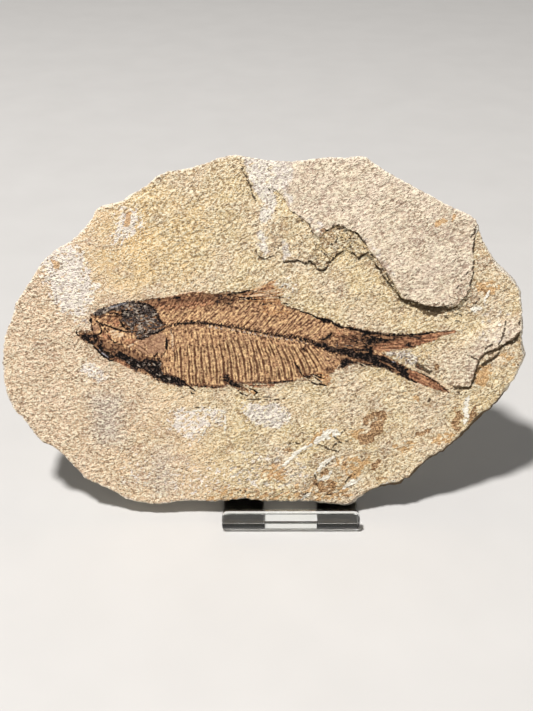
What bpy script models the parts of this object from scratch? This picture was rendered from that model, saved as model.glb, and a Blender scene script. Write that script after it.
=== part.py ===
"""Fossil fish slab: a split stone slab with a fish skeleton on its face, leaning in a clear bent stand.

World axes: +X to the right along the slab, +Y away from the viewer, +Z up, and the table at z = 0.
Sizes are in millimetres and become metres through MM. Slab outlines are (across, up) pairs in the
slab's own plane, measured from the middle of its face; depths are counted from its face, + outward.
"""

import math

import bmesh
import bpy
from mathutils import Matrix, Vector, noise

MM = 0.001

# ---- Driving dimensions -------------------------------------------------------------------------
SLAB_WIDTH = 208.0
SLAB_THICKNESS = 10.5
SLAB_LEAN = 20.0  # degrees from upright
PLATE_RISE = 1.8  # the highest bed, over the bed that carries the fish
FLAKE_RISE = 0.7  # the thin flakes beside it
PLATE_THIN = 0.55  # its thickness at its far left, as a part of PLATE_RISE
PLATE_FADE = (8, 45)  # across the slab, where it thickens
LAMINA_FACTOR = 0.7  # height of the right-hand lamina as a part of PLATE_RISE
LAMINA_THIN = 0.12  # how little of that height its left side has
LAMINA_FADE = (70, 86)
LAMINA_AREA = (68, 13)  # the lamina is to the right of the first and below the second
FACE_LUMPS = 0.35
FACE_LUMP_SIZE = 9
BACK_LUMPS = 0.7
BACK_LUMP_SIZE = 16
BACK_SPALL = 1.6  # depth of the ledges on the back
EDGE_CHIP = 0.5  # how far the front arris is chipped back
EDGE_LUMPS = 0.9
EDGE_SETBACK = 0.9  # how far the sides behind the arris stand in, as a part of EDGE_LUMPS
EDGE_FLARE = 2.4  # and how far they stand out again at the lower right
FLARE_DIRECTION = (0.75, -0.66)
SIDE_SLICES = (-1.5, -6.0)  # depths at which the sides bend
GRID = 8.5  # spacing of the points that carry the lumps
GRID_START = (0.37, 0.31)  # where the grid lies across and up, in spacings
REST_LEVEL = -69.8  # lowest line of the back edge, which stands on the ledge
REST_SPAN = (-18, 37)  # the straight stretch of that edge
REST_DEPTH = 0.7  # it starts this far back, as a part of the thickness
CLEAR = SLAB_WIDTH  # a distance outside the slab on every side
OVERCUT = 4.0  # how far a cutter stands out of the slab

FISH_BASE = -0.4
FISH_TOP = 0.35
TRUNK = (-36, 35)  # from the first rib to the end of the last vertebra's, across the slab
POCKET_GAP = 0.4  # between the fish and the stone round it
POCKET_FLOOR = -0.75
RIB_PITCH = 2.3
RIB_RADIUS = 0.34
SPINE_RADIUS = 0.75
SPINE_WAIST = 0.72  # between two vertebrae, as a part of that
RIB_LEAN = (0.5, 8.5)  # how far the tip is behind the root, at the head and at the tail
RIB_SAG = 1.3
RIB_END = 1.2  # how far it stops above the belly
NEURAL_LEAN = (7, 4)
NEURAL_END = 0.6
SOCKET_RADIUS = 0.6

SHEET = 3.0  # thickness of the clear sheet
STAND_WIDTH = 55.4
STAND_OFFSET = 11.2  # middle of the stand, to the right of the slab's middle
LIP_HEIGHT = 10.1
TOUCH_GAP = 0.3  # between pieces that touch
BEND_RADIUS = 2.5  # of the middle of the sheet, at the lip and the ledge
LEG_BEND_RADIUS = 6.0
ARM_TOP = 5.0  # how far up the slab's back the arms reach, from the slab's middle
BAND_HEIGHT = 14.0
LEG_WIDTH = 20.5
SLOT = 0.7  # saw cut that frees the leg from the arms
LEG_SPLAY = 42.0  # degrees from upright
POLISH = 0.35  # rounding of the sheet's edges
SLAB_FRONT_FOOT = 10.8  # how far behind the front of the lip the slab's face would meet its lowest line

# ---- Outlines, chosen by hand -------------------------------------------------------------------
SLAB_OUTLINE = [
    (102.5, 2), (101.5, 16.5), (98.5, 21.5), (91.5, 28), (88, 33.5), (85, 38.5), (83, 45),
    (80, 47.5), (72.5, 50.5), (65, 54.5), (46, 64.5), (38.5, 70), (33, 69), (21, 69),
    (13.5, 67.5), (0.5, 68), (-3, 69), (-11.5, 70), (-17, 69), (-20, 67.5), (-28.5, 65),
    (-39, 63.5), (-46, 57.5), (-53, 54), (-54, 52.5), (-62, 51), (-65, 49), (-66, 46),
    (-70.5, 41), (-75.5, 36.5), (-79.5, 35), (-86.5, 29), (-92, 20.5), (-97.5, 13),
    (-98.5, 9), (-101.5, 2), (-103, -2.5), (-104, -12), (-103.5, -22), (-101.5, -28),
    (-99.5, -32), (-97, -33.5), (-90.5, -44), (-84, -46.5), (-75, -56.5), (-73, -59.5),
    (-61, -65), (-55.5, -69), (-43, -71), (-33, -69), (-16.5, -69.5), (-7, -68),
    (-4.5, -69), (9, -69.5), (20.5, -69), (24, -70), (32.5, -71), (36, -70.5), (38, -68),
    (50, -63), (55.5, -62.5), (58, -60), (60, -60), (64.5, -54), (77.5, -45.5),
    (87.5, -33.5), (92.5, -30.5), (101.5, -16.5), (102.5, -13), (104, -9), (103, -6),
]
# Edge of the highest bed and of the flakes below it, from the right rim round to the top rim.
BED_EDGE = [
    (84, 43), (82.5, 35.5), (83.5, 29), (82.5, 22), (80, 15), (76, 12), (71.5, 9.5),
    (67.5, 9), (64.5, 11), (60.5, 14), (55.5, 14.5), (50.5, 20.5), (47, 26), (43.5, 28),
    (42, 31.5), (39.5, 32.5), (37.5, 31), (32, 34), (28, 31), (25.5, 28), (22, 26),
    (16.5, 29), (12.5, 30.5), (7.5, 29.5), (4, 32.5), (-1.5, 31), (-2, 37), (2, 42),
    (-1, 49), (3, 56), (-6, 62),
]
# Where the highest bed ends over the flakes.
PLATE_EDGE = [
    (50.5, 20.5), (45, 28), (41, 34.5), (36, 42), (30, 44.5), (26.5, 41), (21.5, 34.5),
    (19, 40), (17, 44.5), (10.5, 49), (7, 55), (3, 56),
]
# The rest of a line round the flakes, over the bed of the fish.
FLAKES_FOOT = [(-8, 54), (-8, 26), (22, 20), (44, 24)]
LAMINA_EDGE = [
    (101, 0.5), (96.5, -1), (94, -4), (88, -7.5), (86, -9.5), (85, -13.5), (83.5, -18.5),
    (82.5, -21.5), (77, -21), (72, -17), (70, -8), (74, 1), (84, 7), (95, 13.5),
]
BACK_LEDGE_LEFT = [(-30, 52), (-38, 33), (-33, 15), (-44, -3), (-41, -24), (-56, -38), (-52, -60)]
BACK_LEDGE_RIGHT = [(60, -30), (68, -12), (61, 8), (72, 24), (66, 40)]

FISH_OUTLINE = [
    (-74, 1.5), (-72, 5), (-69, 8), (-66, 9.5), (-59, 12), (-49, 13), (-35, 15), (-28, 17),
    (-12, 16.5), (-5, 18.5), (7.5, 20), (9.5, 17.5), (10, 11.5), (14.5, 9.5), (22.5, 6.5),
    (27, 4), (36, 2.5), (43.5, 0.5), (52, -0.5), (62, 0.5), (75.5, 1), (70, -1.5), (64, -4),
    (54.5, -5.5), (48.5, -7.5), (55, -10.5), (59, -13), (74.5, -23.5), (68, -22), (58.5, -18),
    (48, -14), (36.5, -10.5), (31.5, -12), (27, -21.5), (20.5, -17.5), (12, -18), (5.5, -19.5),
    (-1.5, -19.5), (-3, -24.5), (-9, -21), (-14, -21), (-30.5, -22), (-37, -21), (-43, -18.5),
    (-49, -15), (-55, -12.5), (-61.5, -11), (-66, -7), (-68, -3), (-72, -1),
]
BACKBONE = [
    (-43, 3.5), (-32, 4.5), (-24, 4.5), (-13.5, 3.5), (-3, 1), (5.5, -0.5), (13, -1),
    (21.5, -3), (30, -5), (39, -6),
]
BACK_LINE = [(-50, 11.5), (-28, 14), (-12, 14), (10, 10), (22.5, 5.3), (36, 1.3), (44, -0.5)]
BELLY_LINE = [(-50, -12), (-37, -18.5), (-20, -19.5), (0, -18), (12, -16.5), (22, -14), (36, -9)]
# Head bones: name, radius, and the line each one runs along.
HEAD_BONES = [
    ("skull_roof", 0.8, [(-66, 8), (-59, 10.5), (-49, 11.5)]),
    ("skull_back", 1.1, [(-56, 9.5), (-50, 7), (-41, 5), (-39.5, 2.5)]),
    ("upper_jaw", 0.7, [(-71, 4), (-65, 5), (-61, 2)]),
    ("lower_jaw", 0.8, [(-73, 0.5), (-68, 0), (-62, 0.5), (-54, 0)]),
    ("jaw_joint", 0.7, [(-63.5, 3.5), (-62, -1.5), (-65, -5)]),
    ("throat", 0.9, [(-62, -8.5), (-55, -10), (-49, -12.5), (-42.5, -16.5), (-36.5, -18.8)]),
    ("gill_cover", 0.7, [(-45, 4), (-39.5, -1), (-39, -6), (-43.5, -9.5), (-50, -11)]),
]
EYE_SOCKET = (-58.5, 6.5)
EYE_SOCKET_RADIUS = 2.6
# Fin rays: the base line they start along, the line their tips reach, how many, and their radius.
FINS = [
    ("dorsal_fin", [(-9, 14), (8, 11)], [(-4, 17.3), (7.5, 18.5)], 6, 0.3),
    ("pelvic_fin", [(-12, -18.5), (-6, -18.5)], [(-5, -22), (-3, -22)], 3, 0.3),
    ("anal_fin", [(16, -15), (30, -11)], [(24, -18), (28, -18)], 5, 0.3),
    ("tail_upper_lobe", [(42, -1.5), (44, -6)], [(70, 0), (64, -3)], 5, 0.35),
    ("tail_lower_lobe", [(41, -7), (37, -9.5)], [(70, -20.5), (66, -20.7)], 5, 0.35),
]

STONE_COLOUR = (0.62, 0.48, 0.27, 1.0)
FISH_COLOUR = (0.16, 0.07, 0.03, 1.0)
SHEET_COLOUR = (0.93, 0.96, 0.96, 1.0)


# ---- Small tools --------------------------------------------------------------------------------
def new_collection(name):
    collection = bpy.data.collections.new(name)
    bpy.context.scene.collection.children.link(collection)
    return collection


def new_material(name, colour, roughness, alpha=1.0):
    material = bpy.data.materials.new(name)
    material.use_nodes = True
    shader = material.node_tree.nodes["Principled BSDF"]
    shader.inputs["Base Color"].default_value = colour
    shader.inputs["Roughness"].default_value = roughness
    shader.inputs["Metallic"].default_value = 0.0
    shader.inputs["Alpha"].default_value = alpha
    return material


def solid_from_curve(curve, name, place, collection):
    """Turns a curve into a closed mesh object with its end caps welded on."""
    drawn = bpy.data.objects.new(name + "_curve", curve)
    bpy.context.scene.collection.objects.link(drawn)
    drawn.matrix_world = place
    graph = bpy.context.evaluated_depsgraph_get()
    mesh = bpy.data.meshes.new_from_object(drawn.evaluated_get(graph))
    mesh.name = name
    weld_and_face_out(mesh)
    mesh.transform(place)
    bpy.data.objects.remove(drawn)
    solid = bpy.data.objects.new(name, mesh)
    collection.objects.link(solid)
    return solid


def weld_and_face_out(mesh):
    work = bmesh.new()
    work.from_mesh(mesh)
    bmesh.ops.remove_doubles(work, verts=work.verts, dist=0.00001)
    bmesh.ops.recalc_face_normals(work, faces=work.faces)
    work.to_mesh(mesh)
    work.free()


def closed_spline(curve, outline):
    spline = curve.splines.new("POLY")
    spline.points.add(len(outline) - 1)
    for point, (across, up) in zip(spline.points, outline):
        point.co = (across * MM, up * MM, 0, 1)
    spline.use_cyclic_u = True


def prism(name, outlines, bottom, top, collection):
    """A solid between two depths; outlines after the first are holes through it."""
    curve = bpy.data.curves.new(name, "CURVE")
    curve.dimensions = "2D"
    curve.fill_mode = "BOTH"
    curve.extrude = (top - bottom) / 2 * MM
    for outline in outlines:
        closed_spline(curve, outline)
    place = Matrix.Translation((0, 0, (top + bottom) / 2 * MM))
    return solid_from_curve(curve, name, place, collection)


def rod(name, line, radii, depth, collection):
    """A square-sided rod along a line on the slab's face, with a radius at each point."""
    curve = bpy.data.curves.new(name, "CURVE")
    curve.dimensions = "3D"
    curve.bevel_depth = MM
    curve.bevel_resolution = 0
    curve.use_fill_caps = True
    spline = curve.splines.new("POLY")
    spline.points.add(len(line) - 1)
    for point, (across, up), radius in zip(spline.points, line, radii):
        point.co = (across * MM, up * MM, depth * MM, 1)
        point.radius = radius
    return solid_from_curve(curve, name, Matrix.Identity(4), collection)


def offset_outline(outline, distance):
    """The outline moved outward by a distance; it runs the same way round."""
    area = sum(a[0] * b[1] - b[0] * a[1] for a, b in zip(outline, outline[1:] + outline[:1]))
    side = math.copysign(1.0, area)
    moved = []
    for before, here, after in zip(outline[-1:] + outline, outline, outline[1:] + outline[:1]):
        arriving = (Vector(here) - Vector(before)).normalized()
        leaving = (Vector(after) - Vector(here)).normalized()
        bisector = (arriving + leaving).normalized()
        normal = Vector((bisector.y, -bisector.x)) * side
        stretch = max(normal.dot(Vector((arriving.y, -arriving.x)) * side), 0.5)
        moved.append(tuple(Vector(here) + normal * distance / stretch))
    return moved


def along(line, share):
    """The point at a share of a line's length."""
    points = [Vector(point) for point in line]
    lengths = [(b - a).length for a, b in zip(points, points[1:])]
    left = share * sum(lengths)
    for start, end, length in zip(points, points[1:], lengths):
        if left <= length:
            return start.lerp(end, left / length)
        left -= length
    return points[-1]


def height_at(line, across):
    """The height of a left-to-right line at a place across the slab."""
    for (x0, y0), (x1, y1) in zip(line, line[1:]):
        if across <= x1:
            return y0 + (y1 - y0) * (across - x0) / (x1 - x0)
    return line[-1][1]


def cut_with(solid, cutters):
    """Takes the cutters out of a solid and keeps the result as its mesh."""
    for cutter in cutters:
        cutter.hide_render = True
        cutter.display_type = "WIRE"
        modifier = solid.modifiers.new(cutter.name, "BOOLEAN")
        modifier.operation = "DIFFERENCE"
        modifier.solver = "EXACT"
        modifier.object = cutter
    graph = bpy.context.evaluated_depsgraph_get()
    mesh = bpy.data.meshes.new_from_object(solid.evaluated_get(graph))
    solid.modifiers.clear()
    solid.data = mesh


def smooth_step(low, high, value):
    share = min(max((value - low) / (high - low), 0.0), 1.0)
    return share * share * (3 - 2 * share)


# ---- Stone slab ---------------------------------------------------------------------------------
def beyond(point, side):
    """A place level with a point and outside the slab, to its right (1) or its left (-1)."""
    return (side * CLEAR, point[1])


def spall_outline(ledge, side):
    """The area between a ledge, lengthened up and down, and one side of the slab."""
    start, end = ledge[0], ledge[-1]
    first = math.copysign(CLEAR, start[1] - end[1])
    corners = [(end[0], -first), (side * CLEAR, -first), (side * CLEAR, first), (start[0], first)]
    return ledge + corners


def stone_block(parts, cutters):
    """The slab with its split beds: everything over each bed is cut away round its edge."""
    block = prism("stone_slab", [SLAB_OUTLINE], -SLAB_THICKNESS, PLATE_RISE, parts)
    above = PLATE_RISE + OVERCUT
    fish_bed = [(-CLEAR, -CLEAR), (CLEAR, -CLEAR), beyond(LAMINA_EDGE[0], 1)] + LAMINA_EDGE
    fish_bed += [beyond(LAMINA_EDGE[-1], 1), beyond(BED_EDGE[0], 1)] + BED_EDGE
    fish_bed += [(BED_EDGE[-1][0], CLEAR), (-CLEAR, CLEAR)]
    flake_bed = PLATE_EDGE[:-1] + FLAKES_FOOT
    back_low = -SLAB_THICKNESS - OVERCUT
    back_top = BACK_SPALL - SLAB_THICKNESS
    left_spall = spall_outline(BACK_LEDGE_LEFT, -1)
    right_spall = spall_outline(BACK_LEDGE_RIGHT, 1)
    cut_with(block, [
        prism("fish_bed_cutter", [fish_bed], 0.0, above, cutters),
        prism("flake_bed_cutter", [flake_bed], FLAKE_RISE, above, cutters),
        prism("left_spall_cutter", [left_spall], back_low, back_top, cutters),
        prism("right_spall_cutter", [right_spall], back_low, back_top, cutters),
    ])
    return block


def outline_distance(outline, point):
    """How far a point is from an outline."""
    nearest = SLAB_WIDTH
    for start, end in zip(outline, outline[1:] + outline[:1]):
        a, b = Vector(start), Vector(end)
        share = min(max((point - a).dot(b - a) / (b - a).length_squared, 0.0), 1.0)
        nearest = min(nearest, (point - a.lerp(b, share)).length)
    return nearest


def lumps(across, up, size, seed):
    """Soft lumps between about -1 and 1."""
    place = Vector((across / size, up / size, seed))
    return noise.noise(place) * 1.2 + noise.noise(place * 2.3) * 0.5


def bed_depth(across, up, depth):
    """Beds thin out away from their steep edges, so their tops are scaled down there."""
    if depth < (FLAKE_RISE + PLATE_RISE) / 2:
        return depth
    if across > LAMINA_AREA[0] and up < LAMINA_AREA[1]:
        share = LAMINA_THIN + (1 - LAMINA_THIN) * smooth_step(*LAMINA_FADE, across)
        return PLATE_RISE * LAMINA_FACTOR * share
    return PLATE_RISE * (PLATE_THIN + (1 - PLATE_THIN) * smooth_step(*PLATE_FADE, across))


def roughen_side(across, up, depth):
    """A broken side: chipped at the face, lumpy behind, and slanting in to the back."""
    outward = Vector((across, up)).normalized()
    around = math.atan2(up, across) * SLAB_WIDTH / 2
    on_arris = depth > SIDE_SLICES[0] / 2
    behind_arris = depth < (SIDE_SLICES[0] + SIDE_SLICES[1]) / 2
    if on_arris:
        shift = -EDGE_CHIP * (1 + lumps(around, depth, 7, 3))
    elif behind_arris:
        flare = EDGE_FLARE * smooth_step(0.2, 0.8, outward.dot(Vector(FLARE_DIRECTION)))
        shift = EDGE_LUMPS * (lumps(around, depth * 3, 11, 9) - EDGE_SETBACK + flare)
    else:
        shift = 0.0
    moved = Vector((across, up)) + outward * shift
    ledge_line = REST_LEVEL - (depth + SLAB_THICKNESS) * math.tan(math.radians(SLAB_LEAN))
    moved.y = max(moved.y, ledge_line)
    at_foot = up < 0 and REST_SPAN[0] < moved.x < REST_SPAN[1]
    if at_foot and depth < -REST_DEPTH * SLAB_THICKNESS:
        moved.y = REST_LEVEL
    half = SLAB_WIDTH / 2
    return min(max(moved.x, -half), half), moved.y


def slice_up(work, spacing):
    """Cuts every face along a grid, and the sides along three depths, to carry the lumps."""
    planes = []
    steps = int(SLAB_WIDTH / 2 / spacing) + 1
    for step in range(-steps, steps + 1):
        planes.append(((step + GRID_START[0]) * spacing * MM, Vector((1, 0, 0))))
        planes.append(((step + GRID_START[1]) * spacing * MM, Vector((0, 1, 0))))
    for depth in SIDE_SLICES:
        planes.append((depth * MM, Vector((0, 0, 1))))
    for distance, normal in planes:
        geometry = work.verts[:] + work.edges[:] + work.faces[:]
        bmesh.ops.bisect_plane(work, geom=geometry, plane_co=normal * distance, plane_no=normal)


def roughen_slab(slab):
    work = bmesh.new()
    work.from_mesh(slab.data)
    slice_up(work, GRID)
    bmesh.ops.remove_doubles(work, verts=work.verts, dist=0.0001)
    bmesh.ops.triangulate(work, faces=work.faces, quad_method="BEAUTY", ngon_method="BEAUTY")
    for vert in work.verts:
        across, up, depth = vert.co / MM
        on_side = outline_distance(SLAB_OUTLINE, Vector((across, up))) < 0.02
        on_face = depth > SIDE_SLICES[0] / 2
        on_back = depth < SIDE_SLICES[1] - 1
        if on_face:
            lump = FACE_LUMPS * lumps(across, up, FACE_LUMP_SIZE, 1)
            moved_depth = bed_depth(across, up, depth) + lump
        elif on_back:
            lump = BACK_LUMPS * (0.5 + 0.5 * lumps(across, up, BACK_LUMP_SIZE, 5))
            moved_depth = max(depth + lump, -SLAB_THICKNESS)
        else:
            moved_depth = depth
        if on_side:
            across, up = roughen_side(across, up, depth)
        vert.co = Vector((across, up, moved_depth)) * MM
    work.to_mesh(slab.data)
    work.free()


def make_slab(parts, cutters, material):
    slab = stone_block(parts, cutters)
    roughen_slab(slab)
    pocket = offset_outline(FISH_OUTLINE, POCKET_GAP)
    cut_with(slab, [prism("fish_pocket_cutter", [pocket], POCKET_FLOOR, OVERCUT, cutters)])
    slab.data.materials.clear()
    slab.data.materials.append(material)
    return slab


# ---- Fossil fish --------------------------------------------------------------------------------
def backbone_beads(relief):
    """The backbone, swelling once for each vertebra."""
    length = sum((Vector(b) - Vector(a)).length for a, b in zip(BACKBONE, BACKBONE[1:]))
    count = int(length / RIB_PITCH) * 2
    line = [tuple(along(BACKBONE, step / count)) for step in range(count + 1)]
    radii = [SPINE_RADIUS * (1.0 if step % 2 else SPINE_WAIST) for step in range(count + 1)]
    rod("backbone", line, radii, FISH_TOP, relief)


def ribs(relief):
    """A bone below and a bone above each vertebra, leaning back more towards the tail."""
    count = int((TRUNK[1] - TRUNK[0]) / RIB_PITCH)
    taper = [RIB_RADIUS * 1.2, RIB_RADIUS, RIB_RADIUS * 0.7]
    for step in range(count):
        across = TRUNK[0] + step * RIB_PITCH
        root = Vector((across, height_at(BACKBONE, across)))
        towards_tail = step / count
        tip = across + RIB_LEAN[0] + (RIB_LEAN[1] - RIB_LEAN[0]) * towards_tail
        belly = Vector((tip, height_at(BELLY_LINE, tip) + RIB_END))
        bend = root.lerp(belly, 0.5) - Vector((RIB_SAG * (1 - towards_tail), 0))
        rod(f"rib_{step}", [root, bend, belly], taper, FISH_TOP, relief)
        tip = across + NEURAL_LEAN[0] + (NEURAL_LEAN[1] - NEURAL_LEAN[0]) * towards_tail
        back = Vector((tip, height_at(BACK_LINE, tip) - NEURAL_END))
        rod(f"neural_spine_{step}", [root, back], taper[::2], FISH_TOP, relief)


def fin_rays(relief):
    for name, base, tips, count, radius in FINS:
        for step in range(count):
            share = step / (count - 1)
            line = [along(base, share), along(tips, share)]
            rod(f"{name}_ray_{step}", line, [radius, radius * 0.7], FISH_TOP, relief)


def head_bones(relief):
    for name, radius, line in HEAD_BONES:
        rod(name, line, [radius] * len(line), FISH_TOP, relief)
    bpy.ops.mesh.primitive_torus_add(
        location=(EYE_SOCKET[0] * MM, EYE_SOCKET[1] * MM, FISH_TOP * MM),
        major_radius=EYE_SOCKET_RADIUS * MM,
        minor_radius=SOCKET_RADIUS * MM,
        major_segments=14,
        minor_segments=6,
    )
    socket = bpy.context.object
    socket.name = "eye_socket"
    for holder in socket.users_collection:
        holder.objects.unlink(socket)
    relief.objects.link(socket)


def make_fish(parts, relief, material):
    """A thin bone-bearing film with the skeleton standing a little proud of it."""
    fish = prism("fossil_fish", [FISH_OUTLINE], FISH_BASE, FISH_TOP, parts)
    backbone_beads(relief)
    ribs(relief)
    fin_rays(relief)
    head_bones(relief)
    for bone in relief.objects:
        bone.hide_render = True
        bone.display_type = "WIRE"
    joined = fish.modifiers.new("bones", "BOOLEAN")
    joined.operation = "UNION"
    joined.solver = "EXACT"
    joined.operand_type = "COLLECTION"
    joined.collection = relief
    fish.data.materials.append(material)
    return fish


# ---- Clear stand --------------------------------------------------------------------------------
class BentPath:
    """The middle line of a bent sheet, seen from the side: straight runs joined by round bends."""

    def __init__(self, start, heading):
        self.runs = []
        self.length = 0.0
        self.end = Vector(start)
        self.heading = heading

    def straight(self, length):
        self.runs.append((self.length, self.end.copy(), self.heading, length, 0.0))
        self.end += Vector((math.cos(self.heading), math.sin(self.heading))) * length
        self.length += length

    def bend(self, turn, radius):
        """Turns left by an angle; a negative one turns right."""
        length = abs(turn) * radius
        self.runs.append((self.length, self.end.copy(), self.heading, length, turn / length))
        self.end = self.point(self.length + length, 0.0)
        self.heading += turn
        self.length += length

    def point(self, distance, offset):
        """The place at a distance along the path, and off to its left."""
        run = [run for run in self.runs if run[0] <= distance + 1e-9 or run is self.runs[0]][-1]
        begun, start, heading, _, curvature = run
        travelled = distance - begun
        turned = heading + curvature * travelled
        if curvature:
            side = Vector((-math.sin(heading), math.cos(heading))) / curvature
            spoke = Vector((math.sin(turned), -math.cos(turned))) / curvature
            middle = start + side + spoke
        else:
            middle = start + Vector((math.cos(heading), math.sin(heading))) * travelled
        return middle + Vector((-math.sin(turned), math.cos(turned))) * offset


def stand_paths():
    """The sheet's path from the lip to the top of the arms, and the leg's from its root down."""
    lean = math.radians(SLAB_LEAN)
    rising = math.pi / 2 - lean
    sheet = BentPath((SHEET / 2, LIP_HEIGHT), -math.pi / 2)
    sheet.straight(LIP_HEIGHT - SHEET / 2 - BEND_RADIUS)
    sheet.bend(math.pi / 2, BEND_RADIUS)
    corner = slab_point(0, SLAB_THICKNESS + TOUCH_GAP + SHEET / 2)
    arm_foot = corner.x - (corner.y - SHEET / 2) * math.tan(lean)
    set_back = BEND_RADIUS * math.tan(rising / 2)
    sheet.straight(arm_foot - set_back - sheet.end.x)
    sheet.bend(rising, BEND_RADIUS)
    arm_end = slab_point(ARM_TOP, SLAB_THICKNESS + TOUCH_GAP + SHEET / 2)
    sheet.straight((arm_end - sheet.end).length)

    root = sheet.length - BAND_HEIGHT
    leg = BentPath(sheet.point(root, 0.0), rising - math.pi)
    splay = math.radians(LEG_SPLAY)
    leg.bend(lean + splay, LEG_BEND_RADIUS)
    drop = leg.end.y - SHEET / 2 * math.sin(splay)
    leg.straight(drop / math.cos(splay))
    return sheet, leg, root


def slab_point(up, behind):
    """Side view of a point so far up the slab's face from its middle and so far behind the face."""
    lean = math.radians(SLAB_LEAN)
    height = -REST_LEVEL * math.cos(lean) + SLAB_THICKNESS * math.sin(lean) + SHEET + TOUCH_GAP
    back = SLAB_FRONT_FOOT - REST_LEVEL * math.sin(lean)
    return Vector((
        back + up * math.sin(lean) + behind * math.cos(lean),
        height + up * math.cos(lean) - behind * math.sin(lean),
    ))


def rounded_rectangle(left, right, low, high, radius):
    outline = []
    corners = ((right, low, -90), (right, high, 0), (left, high, 90), (left, low, 180))
    for x, y, first in corners:
        middle_x = x - math.copysign(radius, x)
        middle_y = y + radius if y == low else y - radius
        for step in range(4):
            angle = math.radians(first + step * 30)
            outline.append((middle_x + radius * math.cos(angle), middle_y + radius * math.sin(angle)))
    return outline


def make_stand(parts, material):
    """A flat blank with a cut round three sides of the leg, polished, then bent along its length.

    Returns the stand's depth, from the front of the lip to the back of the foot.
    """
    sheet, leg, root = stand_paths()
    half_leg = LEG_WIDTH / 2
    cut = half_leg + SLOT
    leg_end = root - leg.length
    blank = rounded_rectangle(-STAND_WIDTH / 2, STAND_WIDTH / 2, 0, sheet.length, 2.5)
    slot = [
        (-cut, leg_end - SLOT), (cut, leg_end - SLOT), (cut, root), (half_leg, root),
        (half_leg, leg_end), (-half_leg, leg_end), (-half_leg, root), (-cut, root),
    ]
    stand = prism("acrylic_stand", [blank, slot], -SHEET / 2, SHEET / 2, parts)
    polish = stand.modifiers.new("polish", "BEVEL")
    polish.width = POLISH * MM
    polish.segments = 1
    polish.limit_method = "ANGLE"
    polish.angle_limit = math.radians(60)
    graph = bpy.context.evaluated_depsgraph_get()
    stand.data = bpy.data.meshes.new_from_object(stand.evaluated_get(graph))
    stand.modifiers.clear()
    bend_blank(stand.data, sheet, leg, root, half_leg)
    stand.data.materials.clear()
    stand.data.materials.append(material)
    depth = leg.end.x + SHEET / 2 * math.cos(math.radians(LEG_SPLAY))
    stand.location = (STAND_OFFSET * MM, -depth / 2 * MM, 0)
    return depth


def bend_cuts(path, steps):
    """Distances along a path at which its bends are sliced."""
    cuts = []
    for begun, _, _, length, curvature in path.runs:
        if curvature:
            cuts += [begun + length * step / steps for step in range(steps + 1)]
    return cuts


def bend_blank(mesh, sheet, leg, root, half_leg):
    """Moves a flat blank's points onto the bent paths; the leg's own points follow the leg."""
    work = bmesh.new()
    work.from_mesh(mesh)
    cuts = bend_cuts(sheet, 6) + [root] + [root - distance for distance in bend_cuts(leg, 6)]
    for distance in cuts:
        geometry = work.verts[:] + work.edges[:] + work.faces[:]
        place = Vector((0, distance * MM, 0))
        bmesh.ops.bisect_plane(work, geom=geometry, plane_co=place, plane_no=Vector((0, 1, 0)))
    bmesh.ops.remove_doubles(work, verts=work.verts, dist=0.00002)
    bmesh.ops.triangulate(work, faces=work.faces)
    for vert in work.verts:
        across, distance, offset = vert.co / MM
        if abs(across) < half_leg + SLOT / 4 and root - leg.length - SLOT / 4 < distance < root:
            place = leg.point(root - distance, -offset)
        else:
            place = sheet.point(distance, offset)
        vert.co = Vector((across, place.x, place.y)) * MM
    work.to_mesh(mesh)
    work.free()


# ---- Assembly -----------------------------------------------------------------------------------
def lean_on_stand(pieces, stand_depth):
    """Sets the slab's own axes in the world: leaning back, with its back edge on the ledge."""
    frame = bpy.data.objects.new("slab_frame", None)
    bpy.context.scene.collection.objects.link(frame)
    middle = slab_point(0, 0)
    frame.location = (0, (middle.x - stand_depth / 2) * MM, middle.y * MM)
    frame.rotation_euler = (math.radians(90 - SLAB_LEAN), 0, 0)
    for piece in pieces:
        piece.parent = frame


def main():
    for old in list(bpy.data.objects):
        bpy.data.objects.remove(old)
    parts = new_collection("fossil_fish_slab")
    cutters = new_collection("cutters")
    relief = new_collection("fish_bones")
    slab = make_slab(parts, cutters, new_material("stone", STONE_COLOUR, 0.85))
    fish = make_fish(parts, relief, new_material("fossil_bone", FISH_COLOUR, 0.6))
    stand_depth = make_stand(parts, new_material("clear_acrylic", SHEET_COLOUR, 0.06, 0.25))
    lean_on_stand([slab, fish] + list(cutters.objects) + list(relief.objects), stand_depth)


main()
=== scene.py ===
"""Fossil fish slab in its clear bent stand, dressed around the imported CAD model.

The slab's face, the fish and their colours are worked out in the slab's own plane: u across, v up
the face and w out of it, in millimetres from the middle of the face. MM turns them into metres.
"""

import math

import bpy
import numpy as np
from mathutils import Matrix, Vector
from mathutils.geometry import delaunay_2d_cdt


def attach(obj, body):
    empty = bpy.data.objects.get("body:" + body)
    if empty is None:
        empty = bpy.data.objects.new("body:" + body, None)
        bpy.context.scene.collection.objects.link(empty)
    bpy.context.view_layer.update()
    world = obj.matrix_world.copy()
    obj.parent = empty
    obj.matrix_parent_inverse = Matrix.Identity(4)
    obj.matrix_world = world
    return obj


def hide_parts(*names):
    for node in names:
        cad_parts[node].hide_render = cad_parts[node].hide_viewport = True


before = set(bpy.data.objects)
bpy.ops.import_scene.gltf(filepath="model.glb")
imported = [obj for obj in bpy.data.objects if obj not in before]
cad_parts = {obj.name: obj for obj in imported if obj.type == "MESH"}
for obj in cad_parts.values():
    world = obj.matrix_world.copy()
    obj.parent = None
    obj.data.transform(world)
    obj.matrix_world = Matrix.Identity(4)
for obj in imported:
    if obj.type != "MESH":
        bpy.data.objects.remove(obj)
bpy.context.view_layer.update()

# ---- Sizes, in mm unless they say otherwise ----
MM = 0.001
SLAB_LEAN = 20.0  # degrees from upright
SLAB_MIDDLE = (0.0, -11.68, 72.48)  # middle of the slab's face in the world
SLAB_HALF_WIDTH = 104
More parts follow.
